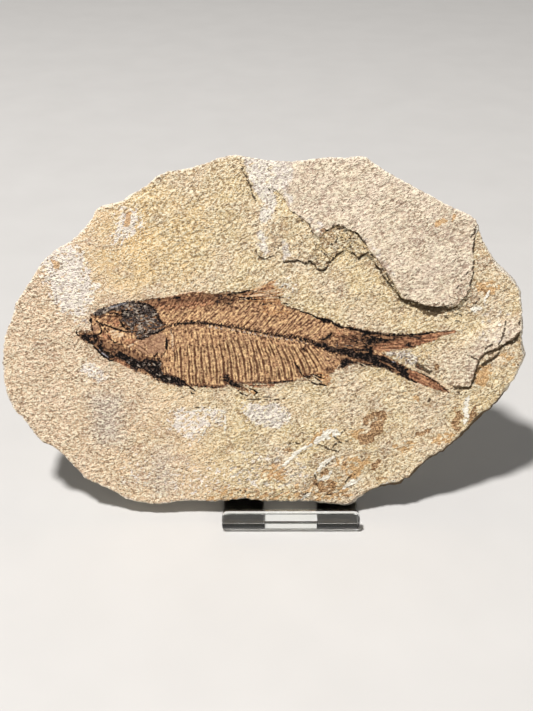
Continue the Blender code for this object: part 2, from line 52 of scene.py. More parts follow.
SLAB_THICKNESS = 10.5
REST_LEVEL = -69.8  # lowest line of the back edge, on the stand's ledge
PLATE_RISE = 1.8
FLAKE_RISE = 0.6
LAMINA_RISE = 1.25
BACK_SPALL = 1.6
GRAIN_HEIGHT = 0.36  # of the swellings in the mesh; the finer grain is in the material
BUMP_HEIGHT = 1.0  # of the finer grain, where its noise is 1
POCKET_DEPTH = 0.9  # of the stone's floor under the fish piece
POCKET_SLOPE = 0.3  # how far the pocket's wall leans in
POCKET_EDGE = -0.12  # points further inside the fish piece's rim than this are on the floor
FISH_DEPTH = 0.6  # of the fish piece's underside, which is set in by as much
LET_IN = 0.6  # width of the fish piece's margin, where its relief fades in
BACK_EDGE = 0.3  # how far the back's rim stands in front of the full thickness
LEDGE_RUN = 0.25  # width of the step at a ledge of the back
CHIP_REACH = 9.0  # distance given to every place too far from the rim to be chipped

CORNER_CUT = 0.22  # share of each side that rounding an outline cuts from either end
RIM_ROUGHNESS = (0.32, 1.9)  # how far a line wanders, and the size of its bays
BED_ROUGHNESS = (0.4, 1.8)
LEDGE_ROUGHNESS = (0.8, 4)
BED_EDGE = (-0.1, 0.16)  # lines of the mesh beside a bed's edge, between which it drops
# The share of its width that a line loses at its ends, and the share of its length there that
# thins no further.
STONE_TAPER = (0.55, 0.02)
FISH_TAPER = (0.45, 0.08)

FACE_SPACING = 0.56  # between the mesh points of the face
BED_SPACING = 0.5
PATCH_SPACING = 0.4
FISH_SPACING = 0.25
UNDERSIDE_SPACING = 2.5
BACK_SPACING = 1.9
# How near the loose points of a mesh may come to its rim and its lines.
FACE_CLEARANCE = FACE_SPACING * 0.42
FISH_CLEARANCE = FISH_SPACING * 0.45
BACK_CLEARANCE = 0.7
RIM_CLEARANCE = 0.35
POCKET_SHARE = 0.06  # of the face's mesh points that are kept on the pocket's floor
GRID_JITTER = 0.18  # in spacings
SIDE_ROWS = 13  # of triangles down the broken side
SHARP_ANGLE = 48.0  # degrees; edges that turn more are shaded as sharp

RIB_SPACING = (2.6, 2.1)  # at the front of the body and at its rear
BEAD_SPACING = (2.5, 1.9)
BACK_FIN = (-14, 14.5)  # where the rays of the back fin run together
TAIL_FAN = (20, -1.5)  # where the rays of the tail run together
EYE = [(-58.6, 6), (-58.4, 6)]
EYE_RADIUS = 2.6

# ---- Outlines ----
SLAB_OUTLINE = [
    (102.5, 2), (101.5, 16.5), (98.5, 21.5), (91.5, 28), (88, 33.5), (85, 38.5), (83, 45),
    (80, 47.5), (72.5, 50.5), (65, 54.5), (46, 64.5), (38.5, 70), (33, 69), (21, 69), (13.5, 67.5),
    (0.5, 68), (-3, 69), (-11.5, 70), (-17, 69), (-20, 67.5), (-28.5, 65), (-39, 63.5), (-46, 57.5),
    (-53, 54), (-54, 52.5), (-62, 51), (-65, 49), (-66, 46), (-70.5, 41), (-75.5, 36.5),
    (-79.5, 35), (-86.5, 29), (-92, 20.5), (-97.5, 13), (-98.5, 9), (-101.5, 2), (-103, -2.5),
    (-104, -12), (-103.5, -22), (-101.5, -28), (-99.5, -32), (-97, -33.5), (-90.5, -44),
    (-84, -46.5), (-75, -56.5), (-73, -59.5), (-61, -65), (-55.5, -69), (-43, -71), (-33, -69),
    (-16.5, -69.5), (-7, -68), (-4.5, -69), (9, -69.5), (20.5, -69), (24, -70), (32.5, -71),
    (36, -70.5), (38, -68), (50, -63), (55.5, -62.5), (58, -60), (60, -60), (64.5, -54),
    (77.5, -45.5), (87.5, -33.5), (92.5, -30.5), (101.5, -16.5), (102.5, -13), (104, -9), (103, -6),
]
# Split beds that stand over the bed of the fish; each outline closes outside the slab.
PLATE = [
    (88, 50), (83.6, 43), (82.6, 40), (82.2, 36), (82, 31), (82.5, 28), (82, 23), (80.8, 18),
    (77, 12.8), (74, 11.8), (70.5, 11.9), (67.5, 11.6), (65, 12), (62, 13), (58, 14.1), (55, 14.8),
    (53.5, 17), (51.5, 20.5), (49.5, 23.5), (47.8, 26.3), (46, 28.5), (43.2, 31.4), (41, 34.2),
    (39.8, 36.6), (37.8, 39), (36, 41.3), (33.5, 41.6), (31.5, 42.6), (29, 43.6), (27, 42.8),
    (24.5, 41.6), (22, 38.5), (20, 40), (18.4, 42.8), (17.5, 44.3), (15.5, 45.6), (12.5, 47.8),
    (10, 49.5), (8, 54), (5, 57), (3, 58), (6, 90), (70, 90),
]
PLATE_STEP = [
    (39, 41), (37, 38.5), (39, 35.5), (38.5, 33), (40.5, 32.4), (43, 30.8), (43.6, 28.6),
    (46, 26.2), (47.8, 23), (50, 20), (52.5, 17.2), (54.6, 14.6), (56.5, 14), (53, 20), (50, 26),
    (45, 34),
]
FLAKE = [
    (-8, 80), (-8.5, 68.5), (-6.5, 62), (-4.3, 57), (-4, 54.5), (-2.4, 52.5), (-2.6, 46),
    (-2.4, 40), (-3, 34), (-2.2, 32), (-0.8, 30.6), (0.8, 30.1), (2.2, 31.2), (4.8, 31.6),
    (5.2, 32.8), (6.5, 33.2), (7.7, 31.5), (7.8, 29.2), (9, 29), (12, 29.5), (13.5, 30), (15, 29.3),
    (16, 28.4), (17.5, 28.8), (18, 29.6), (19.5, 28.4), (20.6, 27.8), (21.3, 26.2), (23, 25.9),
    (24.6, 26.6), (25.3, 28.5), (27.5, 30.5), (29.5, 32.6), (32.3, 34), (34, 33), (35.5, 32.5),
    (37.3, 30.3), (38.7, 31.8), (40.5, 32.4), (43, 31), (43.3, 29.5), (44, 27.8), (46, 26.2),
    (50, 27), (40, 44), (20, 60), (20, 80),
]
LAMINA = [
    (110, 5), (101.8, 2.5), (101, 0.5), (99, -1.8), (97, -2.4), (95.3, -3.6), (93.5, -4.8),
    (91.5, -5.6), (89.5, -6.6), (87.6, -7.6), (86.4, -9.2), (85.3, -11), (85, -13.4), (84.3, -15.5),
    (83.8, -18.2), (82.8, -20.8), (80, -20.8), (77.3, -21.4), (74, -19), (71, -13), (70, -6),
    (74, 1), (84, 7), (95, 13.5), (110, 14),
]
UNDER_LAMINA = [
    (92, -3), (94.2, -6.5), (92.6, -8.6), (90.5, -9.8), (88, -11.3), (86.4, -13.2), (85.2, -14.6),
    (84, -12), (86, -7),
]
# Ledges of the spalled back; the ends close the outlines well outside the slab.
BACK_LEDGE_LEFT = [(-30, 52), (-38, 33), (-33, 15), (-44, -3), (-41, -24), (-56, -38), (-52, -60)]
BACK_LEDGE_RIGHT = [(60, -30), (68, -12), (61, 8), (72, 24), (66, 40)]
LEFT_END = [(-52, -120), (-150, -120), (-150, 120), (-30, 120)]
RIGHT_END = [(66, 120), (150, 120), (150, -120), (60, -120)]

# Where the finely meshed piece with the fish is let into the face, about a millimetre outside it.
FISH_PATCH_OUTLINE = [
    (-73, -2.5), (-69.5, -4.5), (-67.5, -8.5), (-62, -12.8), (-56, -14.5), (-50, -17), (-44, -20.3),
    (-37, -22.8), (-29, -24.5), (-26, -23.5), (-14, -23), (-9.5, -24.5), (-5, -26.5), (-2, -26),
    (-1, -22), (5, -21.8), (12.5, -21), (20, -19.5), (26.5, -23.5), (29, -22), (33, -13.5),
    (37, -12.2), (48, -15.5), (58, -19.8), (68, -24), (76, -25), (76.5, -23), (68, -16), (61, -12),
    (60, -7), (64, -5.5), (70.5, -3), (77.5, 0.5), (77.5, 3), (70, 3), (62, 2.5), (52, 1.5),
    (43.5, 2.5), (36.5, 4), (28, 5.5), (23.5, 8), (15.5, 11), (12, 13), (11, 19.5), (7.5, 22.5),
    (-5, 20), (-12, 18), (-28, 18.5), (-35, 17), (-41, 16.5), (-49, 15.5), (-59, 13.5), (-66, 11),
    (-70, 9.5), (-73.5, 5.5), (-75.5, 1.5),
]
# The brown film of the body and of the fins.
FISH_BODY = [
    (-73, 1.2), (-70, 0.9), (-68.3, 1.8), (-68.3, 4), (-68.5, 8), (-64.5, 10.5), (-56.5, 12.5),
    (-47, 14), (-41.5, 15), (-35.5, 15), (-32, 16), (-27.5, 17), (-19.5, 16.5), (-11, 16.5),
    (-6, 17.5), (0, 17.5), (6, 16), (7.5, 12.5), (12.5, 10.5), (17.5, 9), (20.5, 7), (26.5, 6),
    (31, 3.5), (37, 2.5), (42, 1), (51.5, 0), (57, 0), (62, 1), (66.5, 1.5), (71, 1.2),
    (67.5, -2.5), (60.5, -4.5), (56.5, -5.5), (47.5, -7), (49, -8), (55.5, -12), (58, -13.5),
    (62.5, -15), (68, -17.5), (72.5, -21), (75, -23.5), (70, -22.5), (64.5, -20.5), (58, -17.5),
    (52, -15), (47, -12.5), (41.5, -12.5), (37.5, -11), (31, -12), (28, -15), (24.5, -18),
    (20, -16), (12.5, -18.5), (6.5, -19.5), (-10, -19.5), (-17, -21), (-26, -21), (-30.5, -21),
    (-37, -20), (-44.5, -17), (-51, -14.5), (-57, -11.5), (-61.5, -10), (-66.5, -6), (-68, -3.5),
    (-72, -2), (-73.5, 0),
]
# The backbone, the foot of the ribs and the top of the spines.
COLUMN = [
    (-39, 3), (-36.5, 4), (-33, 4.5), (-28, 5), (-24.5, 5), (-18, 4), (-10, 3), (-3, 1.5), (0, 1),
    (5.5, 0), (9, -0.5), (13.5, -1), (18.5, -2.5), (23, -4), (26.5, -5.5), (30, -6.5), (34.5, -7),
    (39, -8.5),
]
BELLY = [
    (-50, -13), (-44, -16.5), (-37, -19.5), (-30, -20.5), (-17, -20.5), (-10, -19.5), (6, -19),
    (12.5, -18), (20, -15.5), (28, -14), (36, -10),
]
BACK = [
    (-50, 13.5), (-41.5, 15), (-27.5, 16.5), (-12, 16), (0, 15), (8, 12.5), (12.5, 10.5),
    (17.5, 8.5), (23, 6.5), (31, 3.5), (40, 1),
]

# ---- Marks on the fish ----
# Outlined areas: softness of the edge, strength, direction of the grain in degrees, outline.
# A strength below zero takes the mask away again.
# Brown film under and round the finer marks.
DUSK_AREAS = [
    # The whole fish.
    (2.0, 1.05, -30, [
        (-67, -1), (-60, -3), (-54, -4.5), (-47, -8), (-42, -9.5), (-40, -15), (-48, -14.5),
        (-57, -11), (-63, -8.5), (-67, -4),
    ]),
    (1.6, 0.62, 20, [(-65, 5), (-65, 9), (-58, 11.5), (-50, 12), (-50, 5), (-54, 3), (-60, 4.5)]),
    (1.8, 0.9, 20, [
        (-50, 12), (-48, 14.3), (-36, 15.3), (-27, 17.3), (-12, 16.8), (-12, 14), (-27, 13.5),
        (-40, 11),
    ]),
    (1.8, 0.55, -10, [
        (18, -1), (26, 1), (34, 1.5), (44, 1.2), (52, 0.4), (60, 0.2), (58, -2.6), (50, -4),
        (45, -6), (52, -9.5), (58, -13.5), (60, -18.5), (50, -14), (40, -12), (31, -9), (22, -5.5),
    ]),
    (3.0, 0.42, 40, [
        (-50, 12), (-38, 14), (-20, 16), (-10, 15.5), (0, 13), (12, 9), (22, 5), (20, 1), (0, 6.5),
        (-12, 9), (-30, 8), (-40, 6),
    ]),
    (2.0, 0.5, 40, [(-47, 13), (-36, 15), (-24, 16), (-20, 13), (-34, 9.5), (-42, 8)]),
    # Skull and cheek.
    (0.8, 0.7, 60, [(-73, 1.6), (-70.5, 2.6), (-68.4, 2), (-68, 0.8), (-72, 0.6)]),
    # Back and back fin.
    (2.0, 0.7, 35, [(-34, 15), (-27, 16.5), (-19, 16), (-19, 13.5), (-26, 12.5), (-33, 12.5)]),
    # Fin under the tail's root.
    (1.0, 0.8, 0, [(25, -13.5), (28, -13.3), (28.5, -15.6), (26, -16)]),
    # Belly fin.
    (0.6, 1.3, -30, [
        (-15, -17.6), (-13, -17.6), (-10, -19.2), (-7.6, -21), (-6, -22.4), (-9.5, -22.6),
        (-13.4, -20.4),
    ]),
]
# Grey and black crust of bone.
CRUST_AREAS = [
    # Skull and cheek.
    (0.9, 0.75, 20, [
        (-67, 7.5), (-66.5, 9.2), (-62, 11.2), (-56, 12.8), (-50, 13.6), (-49, 11), (-52, 9.8),
        (-57, 9.8), (-62, 8.8), (-65, 7.2),
    ]),
    (1.2, 0.72, 0, [
        (-52.5, 1.5), (-54.5, 4.5), (-56.5, 6), (-56, 9), (-52, 11), (-49, 13), (-46.5, 12.5),
        (-43.5, 11.5), (-42.2, 10.5), (-41.7, 7.5), (-41, 5.5), (-39.5, 4.2), (-39, 2.8),
        (-40.5, 2), (-42, 1.2), (-44, 0.8), (-46, -0.3), (-48, -1.5), (-49.5, -1.2), (-50.5, 0.5),
    ]),
    # Throat.
    (1.2, 0.46, -30, [
        (-58, -7.5), (-50, -10), (-46, -10), (-41, -10.5), (-39, -15.5), (-33, -18), (-37, -19.5),
        (-43, -17.5), (-48, -14), (-55, -11),
    ]),
    # Root of the tail.
    (1.2, 0.5, -10, [(28, -3.6), (36, -3.4), (37, -5), (30, -5)]),
]
# Black bone.
CARBON_AREAS = [
    # Skull and cheek.
    (0.8, 0.9, 0, [
        (-49.5, 9), (-49, 12.5), (-46, 12), (-43, 10.5), (-42.2, 8.5), (-45, 8.5), (-47.5, 7.5),
    ]),
    (0.6, 0.95, 20, [
        (-56, 10), (-53, 10.5), (-51.5, 9.5), (-51, 8), (-53.5, 6.3), (-55.5, 6.8), (-56.3, 8.2),
    ]),
    (0.5, 0.8, 0, [(-51, 0.8), (-49, 1.8), (-46.5, 2.2), (-45.5, 1), (-49, 0)]),
    (0.7, 1.0, -10, [
        (-72.3, 0.3), (-69, 0.6), (-65.5, 0.2), (-65.2, -1.5), (-66, -3.5), (-67.5, -3.8),
        (-69, -3.3), (-71, -2.3), (-72.2, -1.2),
    ]),
    (0.5, -0.8, -10, [(-69.6, -0.8), (-67, -0.9), (-66.8, -2.3), (-69, -2.3)]),
    (0.9, 0.55, -50, [(-65.5, -0.5), (-64, -1), (-63, -2.5), (-63, -4.5), (-65, -4.5), (-66, -3)]),
    (1.2, 0.45, -30, [(-62, -4), (-57, -4.5), (-56, -6), (-57, -7.5), (-60, -8), (-62, -6.5)]),
    # Throat.
    (0.8, 1.15, -30, [
        (-59.5, -8), (-57, -6.3), (-55.5, -7.5), (-53.5, -8.5), (-51, -9.3), (-49, -10.3),
        (-47.5, -9.5), (-46, -9.3), (-45, -11), (-45, -14), (-46.5, -15), (-47.5, -13.5),
        (-49.5, -13.5), (-50.5, -14.8), (-52.5, -13.5), (-53, -12.3), (-55, -10.8), (-57.5, -9.3),
    ]),
    (1.2, 0.98, -35, [
        (-46, -9.5), (-41.5, -9.2), (-40.3, -10.5), (-40.5, -13), (-39.5, -15.5), (-38, -17),
        (-38, -20), (-42, -18.3), (-44, -17.5), (-46, -15),
    ]),
    (0.7, 1.1, -25, [
        (-39.5, -15.8), (-36, -16.4), (-33, -17.7), (-31, -18.7), (-30.2, -20.2), (-33, -21),
        (-36, -20), (-40, -19),
    ]),
    (0.8, 0.9, -35, [
        (-66, -4), (-64.5, -3.6), (-61, -7), (-58, -8.6), (-59.6, -9.6), (-62.5, -8.4), (-65, -6),
    ]),
    # Back and back fin.
    (0.7, 0.9, 20, [(-36.5, 14.6), (-34, 15.6), (-31.5, 16.2), (-32.5, 14.8), (-34, 13.9)]),
    (1.3, 0.55, 20, [
        (-19.5, 15.5), (-16, 16.8), (-11, 17), (-9.5, 15.2), (-12, 12.6), (-13.5, 11.6),
        (-15.5, 12.8), (-19, 12.4),
    ]),
    (0.7, 0.85, 35, [(-19, 13.8), (-17, 14), (-16.5, 13), (-18.5, 12.5)]),
    (0.6, 0.85, 40, [(-14, 13), (-12, 13.8), (-12, 12.4), (-13.2, 11.6)]),
    # Root of the tail.
    (0.4, 0.95, 10, [(22.3, 6.6), (24, 6.3), (27.2, 6.8), (27.5, 5.6), (26, 4.8), (24, 4.9)]),
    (0.4, 0.95, -20, [(28, 4.8), (30, 4.3), (31.8, 3.4), (31, 2.4), (29.8, 3.4), (28.3, 3.9)]),
    (0.4, 0.9, -15, [(33.3, 2.7), (34.5, 3.6), (36.2, 3), (38.3, 2.4), (38.2, 1.9), (34.5, 2)]),
    (0.5, 0.9, 0, [
        (37.5, 2.2), (39, 1.6), (41.5, 2), (43.5, 1.2), (46.8, 1), (47, 0.5), (43, 0.2), (41, -0.2),
        (39.2, 0.4),
    ]),
    (0.4, 0.95, 40, [
        (22.3, -1.8), (24.5, -0.7), (26.2, 0.4), (27.2, 1.1), (28.6, 0.4), (27, -0.4), (26, -1.6),
        (23.8, -2.2),
    ]),
    (0.5, 0.9, -30, [
        (20, -3), (22, -3.3), (24, -2.6), (25.5, -3.4), (24.8, -5), (22.5, -4.6), (20.5, -4.2),
    ]),
    (0.5, 0.9, -40, [(15, -5.4), (16.6, -4.8), (17.6, -6.4), (16.6, -6.6)]),
    (0.9, 0.95, -8, [
        (23.5, -4.2), (27, -4.8), (30, -5.2), (33, -5), (36, -5.2), (40, -5.2), (43.5, -4.3),
        (44, -6.5), (42, -10.8), (38.5, -10.3), (35.5, -9), (33, -8.2), (31, -7), (28.5, -7),
        (26, -6.2),
    ]),
    (0.7, 0.9, 0, [
        (30.8, -9.8), (33, -9.2), (36, -10.4), (38, -10.6), (37.5, -11.6), (34.5, -12), (33, -13.2),
        (30, -13.6), (31, -12),
    ]),
    (0.8, 0.5, -8, [
        (31, -0.2), (34, 0), (42, 1.6), (47, 0), (46.8, -3.2), (42, -5.4), (35, -4), (31.6, -2.6),
    ]),
    # Upper lobe.
    (0.7, 0.85, 3, [
        (38, -1.6), (41, -0.6), (44, -0.4), (47, -0.8), (50, -1.4), (52.5, -0.8), (56, -0.2),
        (60, 0), (62.5, -0.4), (62.8, -2), (60, -1.2), (56, -1), (52.5, -1.6), (50, -2.9),
        (47, -3.2), (44, -3.4), (41.5, -4.5), (40.5, -3),
    ]),
    (0.7, 0.65, 5, [(34, -2.7), (37, -2), (39.5, -1.4), (39, -2.6), (36, -3)]),
    (0.8, 0.62, 10, [(56, -2.6), (58.5, -2.8), (61, -3.2), (60.5, -4.6), (58.5, -5.2), (56.5, -5)]),
    # Lower lobe.
    (0.8, 1.2, -24, [
        (42, -6.5), (44, -7.6), (49, -8.9), (52, -10.8), (55, -12), (57.8, -13.6), (58, -17.6),
        (55, -16.3), (52, -15), (49.5, -13.6), (46, -12.8), (42, -12.2), (39, -10.8),
    ]),
    (0.5, 0.7, 0, [(61.5, -12), (63.5, -12.2), (64, -13.4), (62.5, -13.8)]),
    # Fin under the tail's root.
    (0.6, 0.75, -5, [(15.3, -16), (17, -15.8), (20, -16.2), (19, -17.4), (16.5, -17.8)]),
    (0.7, 0.5, 0, [(25.2, -13.6), (27, -13.2), (27.5, -15), (25.5, -15.2)]),
    # Belly fin.
    (0.5, 0.9, 0, [(-16, -16), (-13.4, -16), (-13, -17.4), (-14, -19.2), (-16, -18.6)]),
    (0.6, 0.85, -30, [
        (-15.4, -17.6), (-13, -17.6), (-10.4, -19.4), (-8, -21.2), (-9.4, -22), (-12.6, -20.6),
        (-14.6, -19.2),
    ]),
]
# Red-brown bone.
RUST_AREAS = [
    # Skull and cheek.
    (1.0, 0.7, 0, [
        (-62, 3), (-62, 6.5), (-60.5, 8.3), (-58.5, 8.4), (-56.8, 7.3), (-56, 5), (-57, 3),
        (-59.5, 3.2),
    ]),
    (0.6, 0.9, 0, [(-70, -0.3), (-66.5, -0.5), (-66.3, -2.6), (-69.5, -2.6)]),
    (0.8, 0.8, 0, [(-64, 1), (-60.5, 1), (-60, -2), (-62, -3.2), (-63.5, -2.5)]),
    (0.9, 0.75, 30, [(-56, -1), (-50, -1), (-50, -3.5), (-55, -4)]),
    # Back and back fin.
    (1.5, 0.76, 35, [
        (-48, 13), (-40, 14.8), (-30, 16.4), (-19, 16.2), (-18, 12), (-27, 10), (-37, 9.5),
        (-42, 10),
    ]),
    # Root of the tail.
    (2.0, 0.65, -5, [(28, 3), (36, 1.5), (40, -0.5), (36, -4), (28, -3.5)]),
    # Upper lobe.
    (0.7, 1.0, 0, [
        (42, -4), (46, -3), (52, -1.5), (62, 0.3), (68, 1), (72, 0.5), (67.5, -2.5), (60.5, -4.5),
        (56.5, -5.5), (48, -6.8), (43.5, -6),
    ]),
    # Lower lobe.
    (0.5, 1.0, -25, [
        (57, -13.5), (62.5, -15.3), (68, -17.8), (72.5, -21), (75, -23.5), (70, -22.5),
        (64.5, -20.5), (57, -17.5),
    ]),
    # Belly fin.
    (1.0, 0.8, 0, [(-8, -19.6), (0, -19.6), (8, -19.2), (4, -21.2), (-4, -21.6)]),
    (0.8, 0.7, 0, [(-27, -20.6), (-16, -20.8), (-15, -22), (-26, -22)]),
]
# Orange bone.
ORANGE_AREAS = [
    # Back and back fin.
    (3.0, 0.8, 10, [(-9, 15.5), (-6, 17.5), (2, 18.5), (8, 19), (7, 15), (8, 12), (0, 12)]),
    (2.0, 0.6, 0, [(-4, 12), (8, 12), (12, 9.5), (12, 7), (0, 7)]),
    # Fin under the tail's root.
    (1.2, 0.85, -35, [(22, -15), (26, -15.5), (28, -17), (27, -20.5), (25, -20.5), (21, -18)]),
    # Belly fin.
    (0.6, 0.8, -30, [(-7, -21.6), (-4, -22.4), (-2.4, -23.6), (-4, -24.2), (-7, -23.2)]),
]
# Smooth bone.
BONE_AREAS = [
    # Skull and cheek.
    (0.8, 0.9, 60, [(-68, 3.5), (-65.5, 5), (-64.8, 3.5), (-64.5, 1.5), (-67, 0.8), (-68, 1.8)]),
    (1.0, 0.9, 0, [
        (-50, 0), (-47, -0.8), (-44, 0.5), (-40, 1.5), (-38.5, 1), (-38.2, -1.5), (-38.2, -5.7),
        (-39, -7), (-41.5, -8), (-46, -8.5), (-49, -7.5), (-50.5, -4),
    ]),
]
# Pale bone.
LIGHT_AREAS = [
    # Skull and cheek.
    (0.8, 0.75, 0, [(-61, 2.5), (-57, 1.5), (-54, 0.3), (-56, -1), (-59, -1.5), (-60.5, 0)]),
]
FISH_AREAS = {
    "dusk": DUSK_AREAS, "crust": CRUST_AREAS, "carbon": CARBON_AREAS, "rust": RUST_AREAS,
    "orange": ORANGE_AREAS, "bone": BONE_AREAS, "light": LIGHT_AREAS,
}
# Lines: half width, strength, points.
# Black bone.
CARBON_STROKES = [
    # Skull, cheek and throat.
    (0.7, 0.95, [
        (-49.6, 13), (-47.5, 12.8), (-45, 11.8), (-43.2, 10.6), (-42.2, 8.8), (-41, 6.4), (-40, 5),
    ]),
    (0.6, 0.85, [(-56.5, 6), (-55.5, 4), (-54, 2.6), (-52, 2.2)]),
    (0.4, 0.95, [(-66.5, 8), (-63, 9.6), (-60, 10.2), (-57, 10.6), (-54.5, 10)]),
    (0.35, 0.8, [(-51, 13), (-50, 12.5), (-48.8, 12.6)]),
    (0.35, 0.9, [(-60.5, 8.7), (-59, 8.9), (-57.5, 8.7), (-56.7, 7.8)]),
    (0.35, 0.9, [(-42.3, 10.5), (-41.7, 7.5), (-41, 5.5)]),
    (0.6, 1.0, [
        (-49.8, -1.2), (-48, -1.5), (-46, -0.3), (-44, 0.8), (-42, 1.2), (-40.5, 2), (-39, 2.7),
    ]),
    (0.35, 0.8, [(-40.5, 4.2), (-38, 4.2)]),
    (0.55, 0.9, [(-65.9, 5.5), (-65.5, 5.5)]),
    (0.55, 0.95, [(-68, 5), (-68, 6.5)]),
    (0.3, 0.85, [(-68, 5), (-67.6, 3.5), (-67.5, 2), (-67, 0.5)]),
    (0.3, 0.85, [(-64.8, 4.2), (-63.9, 2.5), (-63.9, 1.2), (-65, 0.3), (-67, 0)]),
    (0.35, 0.9, [
        (-65, 5), (-63.5, 4.4), (-61.5, 3.8), (-60, 3.2), (-58, 2.4), (-56, 1.8), (-54, 1.2),
        (-52.5, 1.3), (-50, 1.6),
    ]),
    (0.3, 0.8, [(-63.8, 4), (-62.3, 2.5), (-61.5, 1.2)]),
    (0.3, 0.85, [(-73.5, 2.2), (-74, 1), (-73.3, 0), (-72, 0.1)]),
    (0.45, 1.0, [
        (-67.2, -4.5), (-66, -5.8), (-64.8, -7.2), (-63.5, -8.5), (-61.8, -9.3), (-61, -10.2),
        (-59.5, -10),
    ]),
    (0.35, 0.9, [(-65.5, -4.3), (-63, -7.2), (-60.8, -9.2)]),
    (0.3, 0.85, [(-61.5, 0), (-60, -2), (-59, -2.8), (-57.5, -3.5), (-55.5, -3.8)]),
    (0.9, 1.0, [(-47, -10.2), (-46, -11), (-45.2, -11.5)]),
    (0.5, 0.95, [(-38.2, -1.5), (-38.2, -3.8), (-38.5, -5.7)]),
    (0.25, 0.7, [(-38.5, -5.7), (-39, -7), (-40.5, -8.8), (-41.5, -9.5)]),
    (0.3, 0.8, [(-42, -7), (-43.3, -8.8)]),
    (0.5, 0.9, [(-41.4, 14.2), (-40.6, 14.2)]),
    # Back and back fin.
    (0.32, 1.0, [(-12, 17), (-10, 16.9), (-8, 17.2), (-6, 17.9), (-5.2, 18)]),
    (0.25, 0.8, [(-8, 16.2), (-5, 16.5), (-3, 17.2)]),
    (0.3, 0.85, [(-10, 15.2), (-6, 14.9), (-3, 15.2)]),
    (0.3, 0.85, [(-9, 14.3), (-4, 14.2), (0.5, 14.6)]),
    (0.35, 0.75, [(-1, 12.6), (1.5, 12.5)]),
    (0.35, 0.7, [(2.5, 12.9), (3.5, 12.5)]),
    (0.35, 0.8, [(6, 15.3), (7, 15)]),
    (0.3, 0.85, [(8.2, 12.7), (10, 12.3)]),
    (0.3, 0.9, [(14.5, 9.6), (16, 9.1), (17.5, 8.9), (19.5, 8.1), (21, 7.1), (23, 6.5)]),
    # Belly edge.
    (0.35, 0.95, [(-30.8, -20), (-29, -21.4), (-27.4, -22.4)]),
    (0.25, 0.8, [(-29.5, -22.8), (-28.5, -23.8), (-27, -24.2)]),
    (0.3, 0.75, [(-28.6, -20.4), (-25, -20.9), (-20, -21.2), (-16, -21.1)]),
    (0.3, 0.8, [(2, -19.3), (6, -19.2), (9, -18.8), (12, -18.4)]),
    (0.3, 0.8, [(-10, -22.6), (-8.4, -24), (-6.4, -24.6)]),
    (0.28, 0.85, [(-5.6, -21.6), (-3.4, -22.6), (-2.2, -23.4), (-3.6, -24.4)]),
    (0.35, 0.9, [(12.5, -11), (14, -13), (15.5, -16)]),
    (0.3, 0.85, [(20, -15.8), (21.5, -16.4), (22.5, -17), (24.3, -17.6)]),
    (0.25, 0.8, [(20, -16.9), (22, -18), (23.4, -19)]),
    (0.35, 0.9, [(19.5, -19.2), (21, -20), (23.5, -20), (25.3, -20.6)]),
    (0.25, 0.7, [(21.5, -15.8), (24.5, -16.2)]),
    # Tail.
    (0.65, 0.86, [(21.6, 6.8), (24, 6.2), (27.2, 5.6)]),
    (0.6, 0.86, [(27.6, 4.8), (30, 3.9), (31.6, 3)]),
    (0.45, 0.95, [(33, 3), (35.4, 2.6)]),
    (0.55, 0.8, [(36.6, 2.3), (40, 1.5), (44, 0.9), (47, 0.5)]),
    (0.45, 0.76, [(47, 0.1), (51, -0.2), (56, 0.2), (61, 0.4)]),
    (0.3, 0.8, [(50, 0.6), (52, 0.4), (54, 0.6)]),
    (0.4, 0.9, [(60, 0.1), (63.5, 0.5), (66.5, 1.2), (68, 0.9)]),
    (0.35, -1.0, [(36.4, -9.6), (40, -10.6), (43.5, -11.6)]),
    (0.3, -0.9, [(46.5, -10.4), (50, -12), (53, -13.8)]),
    (0.4, -0.9, [(51.5, -14.2), (54.5, -15.2)]),
    (0.3, -0.8, [(35, -7), (38, -6.6), (42, -6.8)]),
    (0.3, 0.85, [(38, -11.4), (40.6, -12.8)]),
    (0.45, 0.95, [(55, -16), (58.5, -17.8), (61.5, -19.2)]),
    (0.22, 0.8, [(62, -15.2), (66, -17), (69.5, -19.2), (72.5, -21.4), (74.6, -23.4)]),
]
